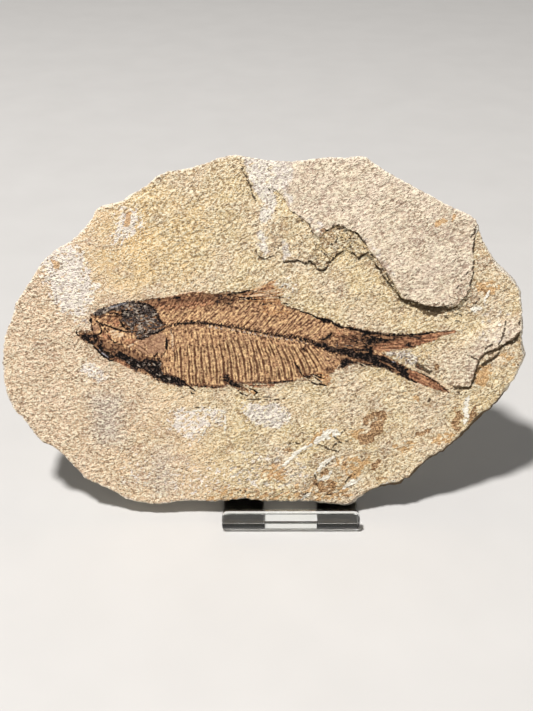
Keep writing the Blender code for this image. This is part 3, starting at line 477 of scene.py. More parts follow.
# Thin brown bone.
DUSK_STROKES = [
    # Skull, cheek and throat.
    (0.3, 0.8, [(-35.4, 1), (-35, -4), (-35, -10)]),
    (0.3, 0.7, [(-37, 3.4), (-36.4, 1.6), (-35.8, 0.4)]),
    (0.3, 0.9, [(-52, -3), (-48, -5), (-45, -7.8)]),
    (0.25, 0.8, [(-51, -5), (-48.5, -6.5), (-47, -8.3)]),
    (0.25, 0.7, [(-49, -2.5), (-44, -4), (-41, -6)]),
    (0.5, 0.8, [(-46, 13.5), (-44, 14.2), (-42, 14.5)]),
    (0.9, 0.9, [(-44, 12.8), (-42.5, 13.8)]),
    # Back and back fin.
    (0.4, 0.8, [(-24, 16.8), (-19.5, 16.2), (-14, 16.3)]),
    (0.4, 0.9, [(-17, 16), (-14, 16.2), (-12, 16.9)]),
    (0.3, 0.8, [(-8, 13.4), (-3, 13.4), (2, 13), (5, 13.2)]),
    (0.3, 0.7, [(-3, 17), (3, 16.3), (8, 15)]),
    (0.3, 0.6, [(-5, 17.8), (2, 18.6), (8, 19.3)]),
    (0.35, 0.8, [(9.5, 11.4), (12, 10.6), (14.5, 10)]),
    # Belly edge.
    (0.6, 1.0, [(-29, -20), (-26, -20.5), (-22, -20.6), (-18, -20.9), (-14.5, -20.6)]),
    (0.55, 1.0, [(-9.5, -19.6), (-6, -19.4), (-2, -19.2), (4, -19.4), (8, -19), (13, -18.4)]),
    (0.4, 0.7, [(-9, -20.4), (-4, -20.6), (3, -20.4)]),
    (0.35, 0.7, [(13, -18.4), (17, -18.3), (20, -18.7)]),
    # Tail.
    (0.35, 0.9, [(66, 1), (71, 1.3), (76, 1.9)]),
    (0.7, 1.1, [(44, 0.7), (48, 0.1), (52, -0.2), (57, -0.3)]),
    (0.3, 0.9, [(46, -4.4), (52, -4), (56, -3.2)]),
    (0.3, 0.9, [(46, -5.6), (52, -5.2), (56, -5)]),
    (0.3, 0.8, [(50, -3), (55, -2.2), (60, -2)]),
    (0.3, 0.8, [(61, -1.5), (66, -1), (70, -0.4)]),
    (0.3, 0.7, [(62, -2.6), (66, -2.2)]),
    (0.35, 0.9, [(58.5, -15), (64, -17), (69, -19.6), (73, -22.4)]),
    (0.3, 0.9, [(59, -16.6), (64, -18.6), (69, -21), (72, -22.6)]),
]
# Crust along the top of the skull.
CRUST_STROKES = [
    # Skull, cheek and throat.
    (0.85, 0.9, [
        (-66.5, 8.5), (-65, 9.5), (-63.5, 10), (-61, 10.5), (-59.5, 11), (-58, 11.5), (-56, 12.3),
        (-53, 13), (-51, 13),
    ]),
]
# Red-brown bone.
RUST_STROKES = [
    # Skull, cheek and throat.
    (0.75, 1.0, [(-60, -8.5), (-57.5, -10.5), (-54, -12.5), (-52.5, -13.2)]),
    # Back and back fin.
    (0.5, 0.8, [(-42, 14.6), (-37, 14.8), (-32.5, 15.8), (-30, 16.6), (-28, 17), (-24, 16.9)]),
    # Tail.
    (0.7, 1.0, [(61, -1.6), (66, -0.4), (71, 0.6), (76, 1.4)]),
]
# Orange bone over the eye.
ORANGE_STROKES = [
    # Skull, cheek and throat.
    (0.45, 1.0, [(-61.5, 8.6), (-59.5, 9.5), (-57.2, 9.3), (-55.9, 8), (-55.7, 6)]),
]
# Pale bone and clean edges.
LIGHT_STROKES = [
    # Skull, cheek and throat.
    (0.4, 0.9, [(-73.5, 0), (-72.5, -1.5), (-70.5, -3), (-68, -4.1)]),
    (0.35, 0.8, [(-54, -5), (-50, -2.5)]),
    (0.45, 0.7, [(-36.6, 2.6), (-36, -1), (-35.8, -6)]),
    (0.3, 0.9, [(-60, -10.5), (-55, -13), (-51, -15.5)]),
    # Back and back fin.
    (0.3, 0.7, [(-40, 15.6), (-35, 15.8), (-31, 16.9), (-27, 17.6), (-22, 17.4)]),
    (0.4, 0.7, [(-4, 17.6), (3, 17.6), (9, 17)]),
    (0.4, 0.7, [(-2, 15.7), (4, 15.4), (9, 14.2)]),
    # Tail.
    (0.3, 0.8, [(50, -5.8), (55, -6.2), (58.5, -5.6)]),
    (0.4, 0.95, [(59.4, -12.8), (63.4, -14.6), (67.6, -17), (71.5, -19.6), (74, -22)]),
    (0.4, 0.95, [(60, -19.2), (64, -21.2), (68, -23.2)]),
]
# Painted grey glints: highlights drawn into the bone's colour.
GLINT_STROKES = [
    # Skull, cheek and throat.
    (0.3, 0.85, [(-60.5, 11.1), (-58, 11.7), (-56, 12.4), (-53.6, 12.8)]),
    (0.22, 0.8, [(-65.2, -5.6), (-63.8, -7.3), (-61.8, -8.9)]),
    (0.3, 0.8, [(51.6, -10.7), (53, -11.2)]),
]
FISH_STROKES = {
    "carbon": CARBON_STROKES, "dusk": DUSK_STROKES, "crust": CRUST_STROKES, "rust": RUST_STROKES,
    "orange": ORANGE_STROKES, "light": LIGHT_STROKES, "glint": GLINT_STROKES,
}

# ---- Marks on the stone ----
# Outlined areas: softness of the edge, strength, outline.
# Golden ground of the upper left and the lower left.
GOLD_PATCHES = [
    (9.0, 0.8, [(-68, 45), (-44, 56), (-24, 52), (-24, 38), (-27, 20), (-52, 19), (-64, 24)]),
    (8.0, 0.25, [(-62, -40), (-40, -34), (-20, -48), (-16, -68), (-52, -70), (-70, -56)]),
]
# Paler ground, most of it round the fish.
PALE_PATCHES = [
    (6.0, 0.42, [
        (-62, -46), (-40, -50), (-20, -52), (18, -46), (24, -60), (10, -69), (-40, -70), (-60, -62),
    ]),
    (4.0, 0.95, [
        (-82, 36), (-74.5, 37), (-69.5, 33), (-68.5, 27), (-64.5, 20), (-68, 10.5), (-73, 6),
        (-79.5, 8.4), (-83, 13.2), (-85, 21), (-88, 28),
    ]),
    (4.0, 0.9, [(-57, 49), (-48.4, 50.5), (-45.6, 45.3), (-50, 37), (-58.9, 36), (-57, 42)]),
    (3.0, 0.7, [
        (-37, -30), (-18.5, -29.5), (-15, -31), (-15, -38), (-24, -40), (-29, -46), (-40, -37),
    ]),
    (1.0, 0.6, [(-30, -30.5), (-18, -30), (-18.5, -33), (-29, -34.5)]),
    (2.5, 0.85, [(-72, -9), (-66, -11), (-61, -17), (-66, -20), (-73, -16)]),
    (1.0, 0.5, [(-70.5, 2), (-68.8, 6.5), (-69, 9), (-72.5, 6.5), (-74, 3)]),
    (2.0, 0.95, [(-10, -27.5), (1, -28), (9, -28.5), (12, -33), (6, -37), (-2, -36), (-8, -32)]),
    (1.5, 0.45, [(0, 18.6), (4, 22), (10, 23.6), (15, 21), (13, 16), (9, 14.5), (9, 19)]),
    (1.2, 0.8, [
        (48, -7.4), (55, -6.6), (59, -6.2), (62, -8.5), (63, -11.8), (60, -12.6), (56, -10.6),
        (52, -9),
    ]),
]
# Smooth layers laid bare where the bed above has flaked away.
LILAC_PATCHES = [
    (2.0, 0.85, [(-7, -30), (2, -30), (10, -31), (12, -37), (2, -38.5), (-6, -36)]),
    (0.9, 0.95, [
        (-8, 70), (-6.8, 66), (-5.5, 62), (-4, 58.5), (-3.4, 56), (-2, 54.5), (-1, 52), (-0.8, 49),
        (-1.6, 46), (-1, 43.6), (2, 43.6), (3, 46), (5, 49.5), (4.6, 53), (5.5, 56.5), (8, 57),
        (8.4, 54), (10, 50.5), (11.2, 52), (11, 55), (10, 58), (11.5, 61), (12, 65), (14, 69),
    ]),
    (0.7, 0.95, [
        (-2.3, 40), (0, 41.5), (1.4, 38.5), (2, 35), (1.8, 32.5), (0, 31), (-2, 33.5), (-2.5, 37),
    ]),
    (0.7, 0.95, [(7.8, 38.5), (9, 37), (10.5, 35), (11, 32), (9.6, 30.5), (8, 30), (7.9, 34)]),
    (1.2, 0.7, [(17, 46.5), (20, 45), (25, 43), (23.5, 40.5), (20, 40.5), (18.6, 44)]),
    (1.2, 0.7, [(38, 39), (41, 36), (44.5, 31), (48, 27), (52, 22), (51, 26), (46, 33), (42, 38)]),
    (5.0, 0.42, [(-12, -46), (14, -46), (20, -60), (10, -68), (-16, -68)]),
    (4.0, 0.42, [(82, 3), (84, 13), (90, 14), (98, 12), (102, 4), (94, 0)]),
    (2.0, 0.5, [(86, 4), (95, 6), (100, 2), (94, -3), (88, -4), (84, -1)]),
]
# Grey ground.
GREY_PATCHES = [
    (4.0, 0.7, [(-46, -46), (-37, -46), (-36, -66), (-45, -66)]),
    (4.0, 1.0, [(-70, -24), (-57, -24), (-57, -45), (-67, -45)]),
    (3.0, 0.35, [(74, -8), (83, -9), (83, -19), (77, -20), (72, -14)]),
    (2.5, 0.35, [(18, 54), (26, 55), (28, 49), (18, 48)]),
]
# Ochre stains.
OCHRE_PATCHES = [
    (0.8, 0.9, [(59.5, -24.5), (63, -24.5), (63.6, -27.5), (60, -28)]),
    (1.8, 0.55, [(-26, -66), (-13.5, -62), (3, -63.5), (12, -66), (3, -72), (-26, -72)]),
    (2.2, 0.68, [(-0.5, -55), (4, -52.5), (10, -54.3), (10.6, -60), (4, -62), (-0.6, -60)]),
    (2.2, 0.6, [(31, -50), (42, -49), (42.5, -54), (38, -59), (31, -59.4)]),
    (1.8, 0.58, [
        (6, -63), (18, -62), (22, -60), (30, -58), (36, -63), (38, -67), (30, -70), (8, -69),
    ]),
    (1.6, 1.0, [(16, -45), (20, -42), (24, -38.4), (29, -37), (28, -40), (22, -44), (18, -46)]),
    (1.5, 0.75, [(33, -41), (38, -36.4), (41, -38.5), (38.5, -43), (35, -44)]),
    (1.4, 0.85, [(36, -57), (39, -51), (43, -49.5), (44, -53), (40, -58), (36, -60)]),
    (1.8, 0.7, [(50, -45), (60, -43), (64, -46), (56, -50)]),
    (1.8, 0.6, [(66, -44), (74, -38), (80, -40), (72, -48)]),
    (1.2, 0.9, [(29.5, -50.8), (32.4, -51.4), (31.4, -54.4), (29, -55)]),
    (0.8, 1.0, [(66.8, 45.4), (69, 46), (71.2, 46), (70.6, 44.2), (68.6, 43.2), (67, 43.8)]),
    (0.8, 0.9, [(71.8, 47.6), (73.6, 47.4), (73.6, 45.4), (72.6, 44.8)]),
    (1.6, 0.9, [(83.4, 18.6), (86, 22), (89, 21.4), (92.5, 19), (91, 16), (87, 15.4), (84, 17)]),
    (1.6, 0.9, [
        (86, -13.4), (90, -10.6), (91.4, -14), (91, -18), (90, -20.4), (86, -20.4), (84, -19.4),
        (85, -15.4),
    ]),
    (1.4, 0.55, [(94, -7), (100, -6), (102, -12), (98, -14), (93, -11)]),
    (0.7, 0.9, [(-83.3, 30.5), (-79.9, 29), (-79.6, 25.1), (-82.3, 26.6)]),
    (0.7, 0.9, [(-53.9, 49.1), (-51.2, 49.1), (-51, 42.6), (-53.7, 42.2)]),
]
# Lapping scales of split stone.
FLAKY_PATCHES = [
    (0.8, 1.0, [
        (18.5, 43.5), (22, 39), (27, 43), (31, 43), (36, 41), (39.5, 36.5), (42, 32.5), (46, 28.5),
        (48, 25), (52, 19), (54, 14.5), (51, 17.5), (47, 22.5), (44, 27), (40.5, 32), (37.5, 30.5),
        (33, 33.8), (29, 32.5), (25, 27), (21.5, 26.3), (20, 28.6), (17, 29), (14.5, 29.5),
        (19, 33), (20, 38),
    ]),
    (1.0, 0.5, [
        (2, 44), (8, 49), (13, 48), (18, 43), (19, 36), (16, 31), (9, 31), (7, 34), (3, 34),
    ]),
    (1.0, 0.8, [
        (58, 14), (66, 13.5), (72, 15), (78, 20), (82, 28), (84, 20), (82, 10), (74, 7), (66, 8),
    ]),
    (1.5, 0.5, [
        (19, -42), (30, -37), (40, -40), (44, -50), (40, -62), (26, -68), (12, -68), (16, -54),
    ]),
    (1.0, 0.4, [
        (74, -8), (84, -9), (96, -4), (104, 4), (104, -10), (92, -22), (80, -27), (76, -18),
    ]),
    (1.0, 0.7, [
        (48, -7), (59, -6), (67, -10), (72, -12), (70, -18), (66, -16), (60, -13), (52, -9),
    ]),
]
# Brown stains.
BROWN_PATCHES = [
    (0.7, 0.7, [
        (68, -11.3), (70, -11), (71.4, -13), (70, -14.5), (69.6, -17.4), (68, -17), (67.4, -14),
    ]),
    (0.6, 0.6, [(60.4, -20.5), (63, -20.8), (65, -23.4), (63.4, -24), (61.4, -22.4)]),
    (0.5, 0.8, [(66.4, -27.6), (68, -28), (67.6, -30), (66.8, -29.6)]),
    (0.6, 0.8, [(85.6, 18.6), (87.6, 18.4), (87.8, 16.8), (86.2, 16.8)]),
    (0.6, 0.7, [(86.8, 15.9), (88.6, 15.8), (88.4, 14.4), (87, 14.6)]),
    (0.8, 0.9, [
        (42, -32), (45, -30.5), (49.5, -32), (49.8, -34.6), (47.5, -34.2), (45, -34.5), (42, -36),
        (39.8, -35.6),
    ]),
    (0.8, 1.0, [(45.4, -34.6), (49.4, -34), (49, -39.4), (45.6, -42.4), (41.4, -42.8), (43, -38)]),
    (0.8, 0.95, [
        (38.4, -42), (41, -40.4), (44.4, -40.6), (45.4, -42), (43, -45.4), (40, -45.6),
        (37.8, -43.6),
    ]),
    (0.7, 0.9, [(44, -53), (46, -50.5), (48, -52.5), (46.5, -55), (43.6, -56)]),
    (0.7, 0.85, [(22, -55.6), (26, -55.2), (27, -57.5), (24.4, -58.6), (21.6, -58)]),
    (0.9, 0.85, [
        (20.8, -59), (23, -60.5), (29, -60), (30, -63), (28, -66.2), (24, -65.6), (21, -63),
    ]),
    (0.6, 0.75, [(8, -47.8), (11, -46.6), (13, -47.2), (12, -49.2), (10, -48.8)]),
    (0.8, 0.7, [(45.4, -60), (49, -58.4), (51.2, -59), (50, -60.6), (46.4, -62)]),
    (0.7, 0.6, [(30, -66), (35, -66), (36, -68), (31, -68.4)]),
    (0.5, 0.8, [(32.2, -52.2), (34, -52.2), (34, -53.6), (32.4, -53.6)]),
    (0.8, 0.8, [(62.6, -38.8), (66.6, -38.6), (67.4, -40.4), (64.6, -42), (62.4, -41)]),
    (1.2, 0.95, [(77, -29.6), (80, -31.6), (80.8, -37), (79, -40.6), (76.4, -37)]),
    (1.0, 0.95, [(82.8, -31), (85.6, -29), (86, -33), (84, -36), (82.6, -35)]),
    (0.6, 0.5, [(20, 43), (24.5, 42.4), (27, 39), (25, 35), (21, 37)]),
]
# Painted shade in hollows beside the tail.
DARK_PATCHES = [
    (0.5, 0.5, [(54, -8.6), (58, -9), (59, -11), (56, -10.4)]),
    (0.8, 1.1, [
        (61, -11.6), (63.6, -12.2), (66.5, -14), (67.3, -15.4), (65.5, -16), (63.6, -14.8),
        (62, -13.6),
    ]),
    (0.5, 0.8, [(64.6, -26.5), (67.4, -26.5), (66.8, -28.2), (65.6, -28)]),
    (0.4, 0.9, [(75.8, -21.2), (78.8, -20.9), (79, -22), (76.4, -22.2)]),
]
# Darker places inside the brown stains.
RIM_PATCHES = [
    (0.6, 0.8, [(45.6, -31.8), (48, -32.2), (47.8, -34), (46, -33.8)]),
    (0.6, 0.8, [(42.2, -40.4), (44.2, -40.8), (43.8, -42.2), (42.4, -41.8)]),
]
PATCHES = {
    "gold": GOLD_PATCHES, "pale": PALE_PATCHES, "lilac": LILAC_PATCHES, "grey": GREY_PATCHES,
    "ochre": OCHRE_PATCHES, "flaky": FLAKY_PATCHES, "brown": BROWN_PATCHES, "dark": DARK_PATCHES,
    "rim": RIM_PATCHES,
}
# Lines: half width, strength, points.
# White crusts.
WHITE_LINES = [
    # Lower right and right end.
    (0.9, 1.0, [(7, -55), (10, -52.6), (12, -50), (15, -47.6), (18, -46), (21, -44.5)]),
    (1.5, 1.0, [(20, -45), (23, -42.6), (25, -41), (27, -39.6), (30, -39)]),
    (1.1, 0.85, [(25, -43), (28, -41.2), (31, -40.4)]),
    (1.05, 1.0, [(21.4, -57), (24, -54), (26, -52.4), (28.6, -50.4)]),
    (0.85, 0.95, [(22.6, -60), (26, -59.2), (28, -56.6)]),
    (1.0, 1.0, [(32.8, -64), (36, -61.4), (39.4, -59.8)]),
    (0.8, 0.9, [(15.6, -68.4), (17.6, -67), (19.6, -65.8)]),
    (0.8, 0.9, [(49, -62.2), (51, -61.4), (53.6, -60.4)]),
    (1.1, 1.0, [(82.8, -24.6), (82, -27), (81.8, -30), (82, -33), (81.4, -36.4)]),
    (0.75, 1.0, [(89, 17.6), (88.2, 16.2), (87.6, 14.4), (87.4, 12.6)]),
    (1.0, 1.0, [(82, 10.6), (84, 10.2), (86, 10.4)]),
    (0.45, 0.9, [(83.2, 43.6), (83.3, 41.6), (82.6, 40.4)]),
    # Beside the fish.
    (0.6, 0.85, [(-32, -31.6), (-26, -30.8), (-18.7, -30.6)]),
    (0.5, 0.8, [(-15.5, -31), (-15.2, -35), (-15.4, -39.5)]),
    (0.45, 0.7, [(-22.5, -37.4), (-24.4, -41), (-26.1, -43.7)]),
    (0.5, 0.8, [(6, 18.5), (8.5, 20.5), (11.4, 20.2), (11.8, 17.6)]),
    (0.35, 0.7, [(-69.6, 8.6), (-67.6, 9.8), (-65, 11.2)]),
]
# Painted shade in cracks and under laps of one layer over another; the bump also dents them.
DARK_LINES = [
    # Lower right and right end.
    (0.3, 0.9, [(8, -47.5), (10, -45.5), (12.5, -44), (14, -44.7), (16, -44.4), (18, -42.6)]),
    (0.4, 0.95, [(21.5, -45), (24, -45.7), (26, -46.8), (28, -47.5), (31, -48.2)]),
    (0.35, 0.9, [(28, -46.4), (29.5, -44.8), (31, -44.2), (34.4, -43.8)]),
    (0.35, 0.7, [(28, -41.6), (30.6, -43)]),
    (0.3, 0.8, [(31.8, -40.4), (33.5, -38.7), (36.4, -38.2)]),
    (0.3, 0.8, [(13, -50), (14.5, -49.5), (16.6, -48.8)]),
    (0.35, 0.85, [(25.2, -54), (28.2, -52.4)]),
    (0.35, 0.85, [(32.8, -62.2), (34.5, -60), (36, -58.3), (38.6, -57.4)]),
    (0.35, 0.8, [(19, -58), (21.4, -58.2), (21.6, -61), (22.6, -63.6)]),
    (0.3, 0.7, [(15.4, -67.6), (19, -65)]),
    (0.3, 0.7, [(25.6, -66.2), (28, -66.6)]),
    (0.35, 0.7, [(-11.5, -68), (-9.5, -64.5), (-5, -65.5)]),
    # Round the flake and the plate.
    (0.35, 0.85, [
        (-9, 65.6), (-7.5, 63.5), (-6.4, 61.4), (-5, 59), (-4.3, 56.5), (-4, 54.5), (-2.6, 52.6),
    ]),
    (0.25, 0.6, [(-8, 65.8), (-6.6, 63.4), (-5.4, 60.6)]),
    (0.25, 0.6, [(0, 56.4), (0.4, 57.4), (1.8, 57.5), (2.8, 56.6), (4, 56), (5, 56.8), (7, 57)]),
    (0.25, 0.5, [(-1.4, 43.6), (0, 43.2), (2.4, 43.6), (3, 45.6), (4.8, 48), (5, 51)]),
    (0.35, 0.9, [(-3, 34), (-2.2, 32), (-0.8, 30.6), (0.8, 30), (2.2, 31), (4.8, 31.5)]),
    (0.25, 0.7, [(3.6, 34.4), (5, 34.8), (6.5, 34), (7.7, 32)]),
    (0.42, 0.95, [(7.8, 29.1), (9, 28.9), (12, 29.4), (13.5, 29.9), (15, 29.2)]),
    (0.38, 0.9, [(15, 29.2), (16, 28.3), (17.5, 28.7), (18, 29.5), (19.5, 28.3), (20.6, 27.7)]),
    (0.45, 0.95, [(21.2, 26.2), (22, 25.9), (23.2, 25.9), (24.6, 26.5), (25.4, 27.6)]),
    (0.3, 0.9, [(25.2, 28.4), (27.5, 30.4), (29.5, 32.5), (31, 33.2), (32.4, 34)]),
    (0.3, 0.8, [(32.4, 34), (34, 33), (35.5, 32.4), (37.3, 30.3)]),
    (0.55, 0.95, [(37.3, 30.4), (38.6, 31.6), (40.2, 32.4)]),
    (0.45, 0.95, [(39, 35.2), (40.4, 33.4), (41.6, 32.4), (43.2, 31.2)]),
    (0.35, 0.9, [(35.6, 41.2), (37, 39.6), (38.2, 38), (39.8, 36.5)]),
    (0.25, 0.7, [
        (26.8, 42.8), (28, 43.5), (30, 43.5), (31.6, 42.6), (30.6, 42), (28, 42.2), (26.8, 42.8),
    ]),
    (0.3, 0.75, [(27, 41.2), (30, 41.6), (32, 40.9), (33.4, 41.6), (35.6, 40.4)]),
    (0.35, 0.8, [(24, 41.3), (25.2, 41.5)]),
    (0.4, 0.9, [(26.2, 36), (27.6, 36), (28.7, 36.8), (29, 38.2), (28.6, 39.3)]),
    (0.25, 0.7, [(28.6, 39.3), (31, 38.6), (33, 37.2), (35, 36), (36, 34.6)]),
    (0.22, 0.65, [(33, 38.4), (35, 38), (37.2, 38.2)]),
    (0.25, 0.65, [(29, 34.2), (31, 34.8), (33, 35), (35, 34.4), (37, 35.6)]),
    (0.25, 0.7, [(20.8, 36), (21.6, 34.8), (23, 33.2), (24, 32.2)]),
    (0.25, 0.7, [(20, 31), (22, 31.6), (23.4, 31), (25.4, 32.4), (26.4, 34)]),
    (0.3, 0.8, [(10.5, 48.6), (12, 48), (14, 46.8), (15.8, 46)]),
    (0.3, 0.85, [
        (13.6, 44.6), (15.6, 45), (17, 44.4), (18, 43.6), (18.4, 42.4), (19, 41), (19.6, 40),
    ]),
    (0.6, 0.9, [(43.8, 27.8), (45, 26.7), (46.6, 26.1), (47.8, 25.8)]),
    (0.3, 0.9, [(47.4, 26), (48.4, 24.4), (49.4, 22.4), (50.8, 20.8), (51.8, 19.6)]),
    (0.3, 0.85, [(45.8, 25.4), (47.6, 22.8), (50, 20.2), (52.4, 17.6), (53.8, 15.4), (54.8, 14.2)]),
    (0.2, 0.5, [(48.6, 27.4), (50.6, 24.6), (52.8, 21.4)]),
    (0.5, 0.8, [(54.4, 16.1), (56.6, 16.2)]),
    (0.25, 0.7, [(67, 12.2), (70, 13.2), (73, 12.6), (76, 12.6), (78.4, 14.4)]),
    (0.25, 0.6, [(69, 11.6), (72, 12), (75, 11.4)]),
    (0.3, 0.8, [(69.6, 7.3), (71, 7.3), (73.6, 6.8)]),
    (0.25, 0.7, [(75.6, 9), (77.4, 8.4), (79, 7.2)]),
    (0.3, 0.7, [(76.2, 5.8), (77.4, 5.6)]),
    (0.35, 0.9, [(82.7, 39.4), (82.2, 37), (81.9, 34), (82, 31)]),
    (0.6, 0.9, [(82.3, 29), (82.4, 27.4), (81.6, 26)]),
    (0.35, 0.9, [(82.5, 25.4), (82.1, 22.6), (81.5, 21), (81, 18.8)]),
    (0.25, 0.8, [(80.8, 25.4), (79.5, 24.2), (78, 22.6), (77, 21), (76.3, 19), (75.3, 17.4)]),
    (0.35, 0.9, [(82.6, 43), (82.1, 41.4), (82.4, 40), (81.4, 39.7), (80.8, 38.8)]),
    (0.3, 0.75, [(85.2, 14.6), (84.2, 13.2), (82.8, 12.2)]),
    (0.25, 0.5, [(80.6, 15.6), (79.6, 13.6), (79.8, 12)]),
    # Round the lamina.
    (0.42, 1.0, [(96, 6.5), (95.6, 3.5), (95, 0), (94, -2), (93.2, -3.8)]),
    (0.3, 0.7, [(101.8, 8), (101.2, 5), (101.3, 2.5)]),
    (0.42, 1.0, [(91, -3.8), (89.4, -4.4), (88.3, -5.8)]),
    (0.3, 1.0, [(80.6, -7.3), (83, -8.8), (84.2, -9.4), (85.6, -10)]),
    (0.25, 0.6, [(76.6, -22.4), (79, -24), (80.6, -24.4), (82, -22.8)]),
    (0.35, 0.8, [(79.4, -24.4), (80.4, -24.4)]),
    (0.25, 0.6, [(85.6, -16.6), (86.8, -16.6), (87.2, -15.4)]),
    (0.3, 0.6, [(80.4, -27), (81.6, -26.8)]),
    (0.3, 0.6, [(98.6, -13), (100.4, -12.8), (102, -12)]),
    # Beside the fish.
    (0.3, 0.7, [(-46, 38.5), (-45, 36.5)]),
    (0.25, 0.6, [(-30, -30), (-25, -29.6), (-18.7, -29.6)]),
    (0.35, 0.8, [(-9, -25.8), (-5, -26.4), (-1, -26.2), (4, -26.6), (9, -25.8)]),
    (0.3, 0.7, [(0, -25.4), (3.4, -25.4)]),
    (0.25, 0.5, [(-36, -24.6), (-33, -25.6), (-31, -25)]),
]
# Painted shadow in the hollows under the edges of the plate and the lamina.
SHADE_LINES = [
    # Round the flake and the plate.
    (1.4, 1.0, [
        (53.4, 14.4), (57, 13.4), (60, 12.4), (63, 11.2), (66, 10.2), (69, 10), (72, 10.6),
    ]),
    (1.6, 1.0, [(61, 11.4), (63.5, 10.4), (66, 9.4), (68, 9.1), (70.4, 9.6)]),
    (0.5, 0.9, [(68, 10.2), (71, 9.9), (74, 10.2), (76.4, 11.6)]),
    # Round the lamina.
    (1.15, 1.0, [(101.4, 1.6), (100, -1.8), (98, -2.6), (96, -3.6)]),
    (1.0, 1.0, [(96, -3.6), (93.8, -5.2), (91.6, -6.2), (89.6, -7), (87.6, -8)]),
    (0.7, 1.0, [(87.6, -8), (86.2, -9.8), (85.4, -11.6)]),
    (0.95, 1.0, [(94, -7), (92, -9.2), (90, -10.2), (88, -11.8), (86, -13.4)]),
    (0.7, 1.0, [(85.4, -12), (85, -14.6), (84.3, -17.4), (83.4, -20.4), (82.6, -21.6)]),
    (0.75, 1.0, [(82.4, -21.4), (80, -21.3), (78, -21.4), (76.6, -22)]),
]
STROKES = {
    "white": WHITE_LINES, "dark": DARK_LINES, "shade": SHADE_LINES,
}
FRAYED_PATCHES = ("ochre", "lilac", "brown", "dark", "rim")
RIMMED_PATCHES = {"brown": 1.0, "lilac": 0.6}  # how strong their brown rims are


# ---- Arrays of places ----
def smooth(low, high, value):
    """0 at low and 1 at high, smooth between; it falls where high is the lower of the two."""
    share = np.clip((value - low) / (high - low), 0.0, 1.0)
    return share * share * (3 - 2 * share)


def corner_angle(ix, iy, seed):
    """A repeatable angle for each corner of a lattice."""
    mixed = (ix * 374761393 + iy * 668265263 + seed * 974634777) & 0xFFFFFFFF
    mixed = ((mixed ^ (mixed >> 13)) * 1274126177) & 0xFFFFFFFF
    return ((mixed ^ (mixed >> 16)) & 0xFFFF) / 65536.0 * 2 * math.pi


def noise(x, y, seed):
    """Smooth noise between about -1 and 1."""
    x0, y0 = np.floor(x), np.floor(y)
    fx, fy = x - x0, y - y0
    ix, iy = x0.astype(np.int64), y0.astype(np.int64)
    sx = fx ** 3 * (fx * (fx * 6 - 15) + 10)
    sy = fy ** 3 * (fy * (fy * 6 - 15) + 10)
    total = np.zeros_like(fx)
    for cx in (0, 1):
        for cy in (0, 1):
            angle = corner_angle(ix + cx, iy + cy, seed)
            slope = np.cos(angle) * (fx - cx) + np.sin(angle) * (fy - cy)
            total += (sx if cx else 1 - sx) * (sy if cy else 1 - sy) * slope
    return total * 1.5


def fractal(x, y, seed, octaves=3):
    """Noise with finer noise on it, each octave half the size and height of the one before."""
    total, size = np.zeros_like(x), 1.0
    for octave in range(octaves):
        total = total + noise(x / size, y / size, seed + octave * 17) * size
        size *= 0.5
    return total / 1.3


def turned(u, v, degrees):
    """Coordinates along and across a direction."""
    turn = math.radians(degrees)
    along = u * math.cos(turn) + v * math.sin(turn)
    return along, v * math.cos(turn) - u * math.sin(turn)


def looped(points):
    """The points with the first one again at the end."""
    return np.vstack([points, points[:1]])


def resample(line, step, closed=False):
    """Points at even steps along a line."""
    points = np.array(line, float)
    if closed:
        points = looped(points)
    lengths = np.concatenate([[0], np.cumsum(np.linalg.norm(np.diff(points, axis=0), axis=1))])
    count = max(int(round(lengths[-1] / step)), 1)
    where = np.linspace(0, lengths[-1], count + 1)
    if closed:
        where = where[:-1]
    return np.stack([np.interp(where, lengths, points[:, i]) for i in (0, 1)], 1)


def rounded(outline, step):
    """Points at even steps round a closed outline, its corners cut once."""
    points = np.array(outline, float)
    after = np.roll(points, -1, 0)
    first = points * (1 - CORNER_CUT) + after * CORNER_CUT
    second = points * CORNER_CUT + after * (1 - CORNER_CUT)
    return resample(np.stack([first, second], 1).reshape(-1, 2), step, closed=True)


def line_normals(points, closed=True):
    """The direction to the right of travel, which is outward where a loop runs anticlockwise."""
    if closed:
        along = np.roll(points, -1, 0) - np.roll(points, 1, 0)
    else:
        along = np.gradient(points, axis=0)
    along /= np.linalg.norm(along, axis=1)[:, None]
    return np.stack([along[:, 1], -along[:, 0]], 1)


def winding(outline):
    """1 where an outline runs anticlockwise and -1 where it runs clockwise."""
    u, v = outline.T
    return math.copysign(1.0, np.sum(u * np.roll(v, -1) - v * np.roll(u, -1)))


def roughened(points, roughness, seed, closed=True):
    amount, size = roughness
    push = amount * fractal(points[:, 0] / size, points[:, 1] / size, seed)
    return points + line_normals(points, closed) * push[:, None]


def inside(points, outline):
    """Whether each point is inside an outline."""
    outline = np.asarray(outline, float)
    found = np.zeros(len(points), bool)
    for (x0, y0), (x1, y1) in zip(outline, np.roll(outline, -1, 0)):
        crosses = (y0 > points[:, 1]) != (y1 > points[:, 1])
        with np.errstate(divide="ignore", invalid="ignore"):
            at = x0 + (points[:, 1] - y0) * (x1 - x0) / (y1 - y0)
        found ^= crosses & (points[:, 0] < at)
    return found


def line_distance(points, line, closed=False):
    """How far each point is from a line, and the share of the line's length that is nearest."""
    line = np.asarray(line, float)
    if closed:
        line = looped(line)
    nearest = np.full(len(points), 1e9)
    share = np.zeros(len(points))
    begun = 0.0
    for a, b in zip(line, line[1:]):
        run = b - a
        length = math.hypot(*run)
        if length < 1e-9:
            continue
        at = np.clip((points - a) @ run / length ** 2, 0, 1)
        off = np.hypot(points[:, 0] - a[0] - at * run[0], points[:, 1] - a[1] - at * run[1])
        closer = off < nearest
        nearest = np.where(closer, off, nearest)
        share = np.where(closer, begun + at * length, share)
        begun += length
    return nearest, share / begun


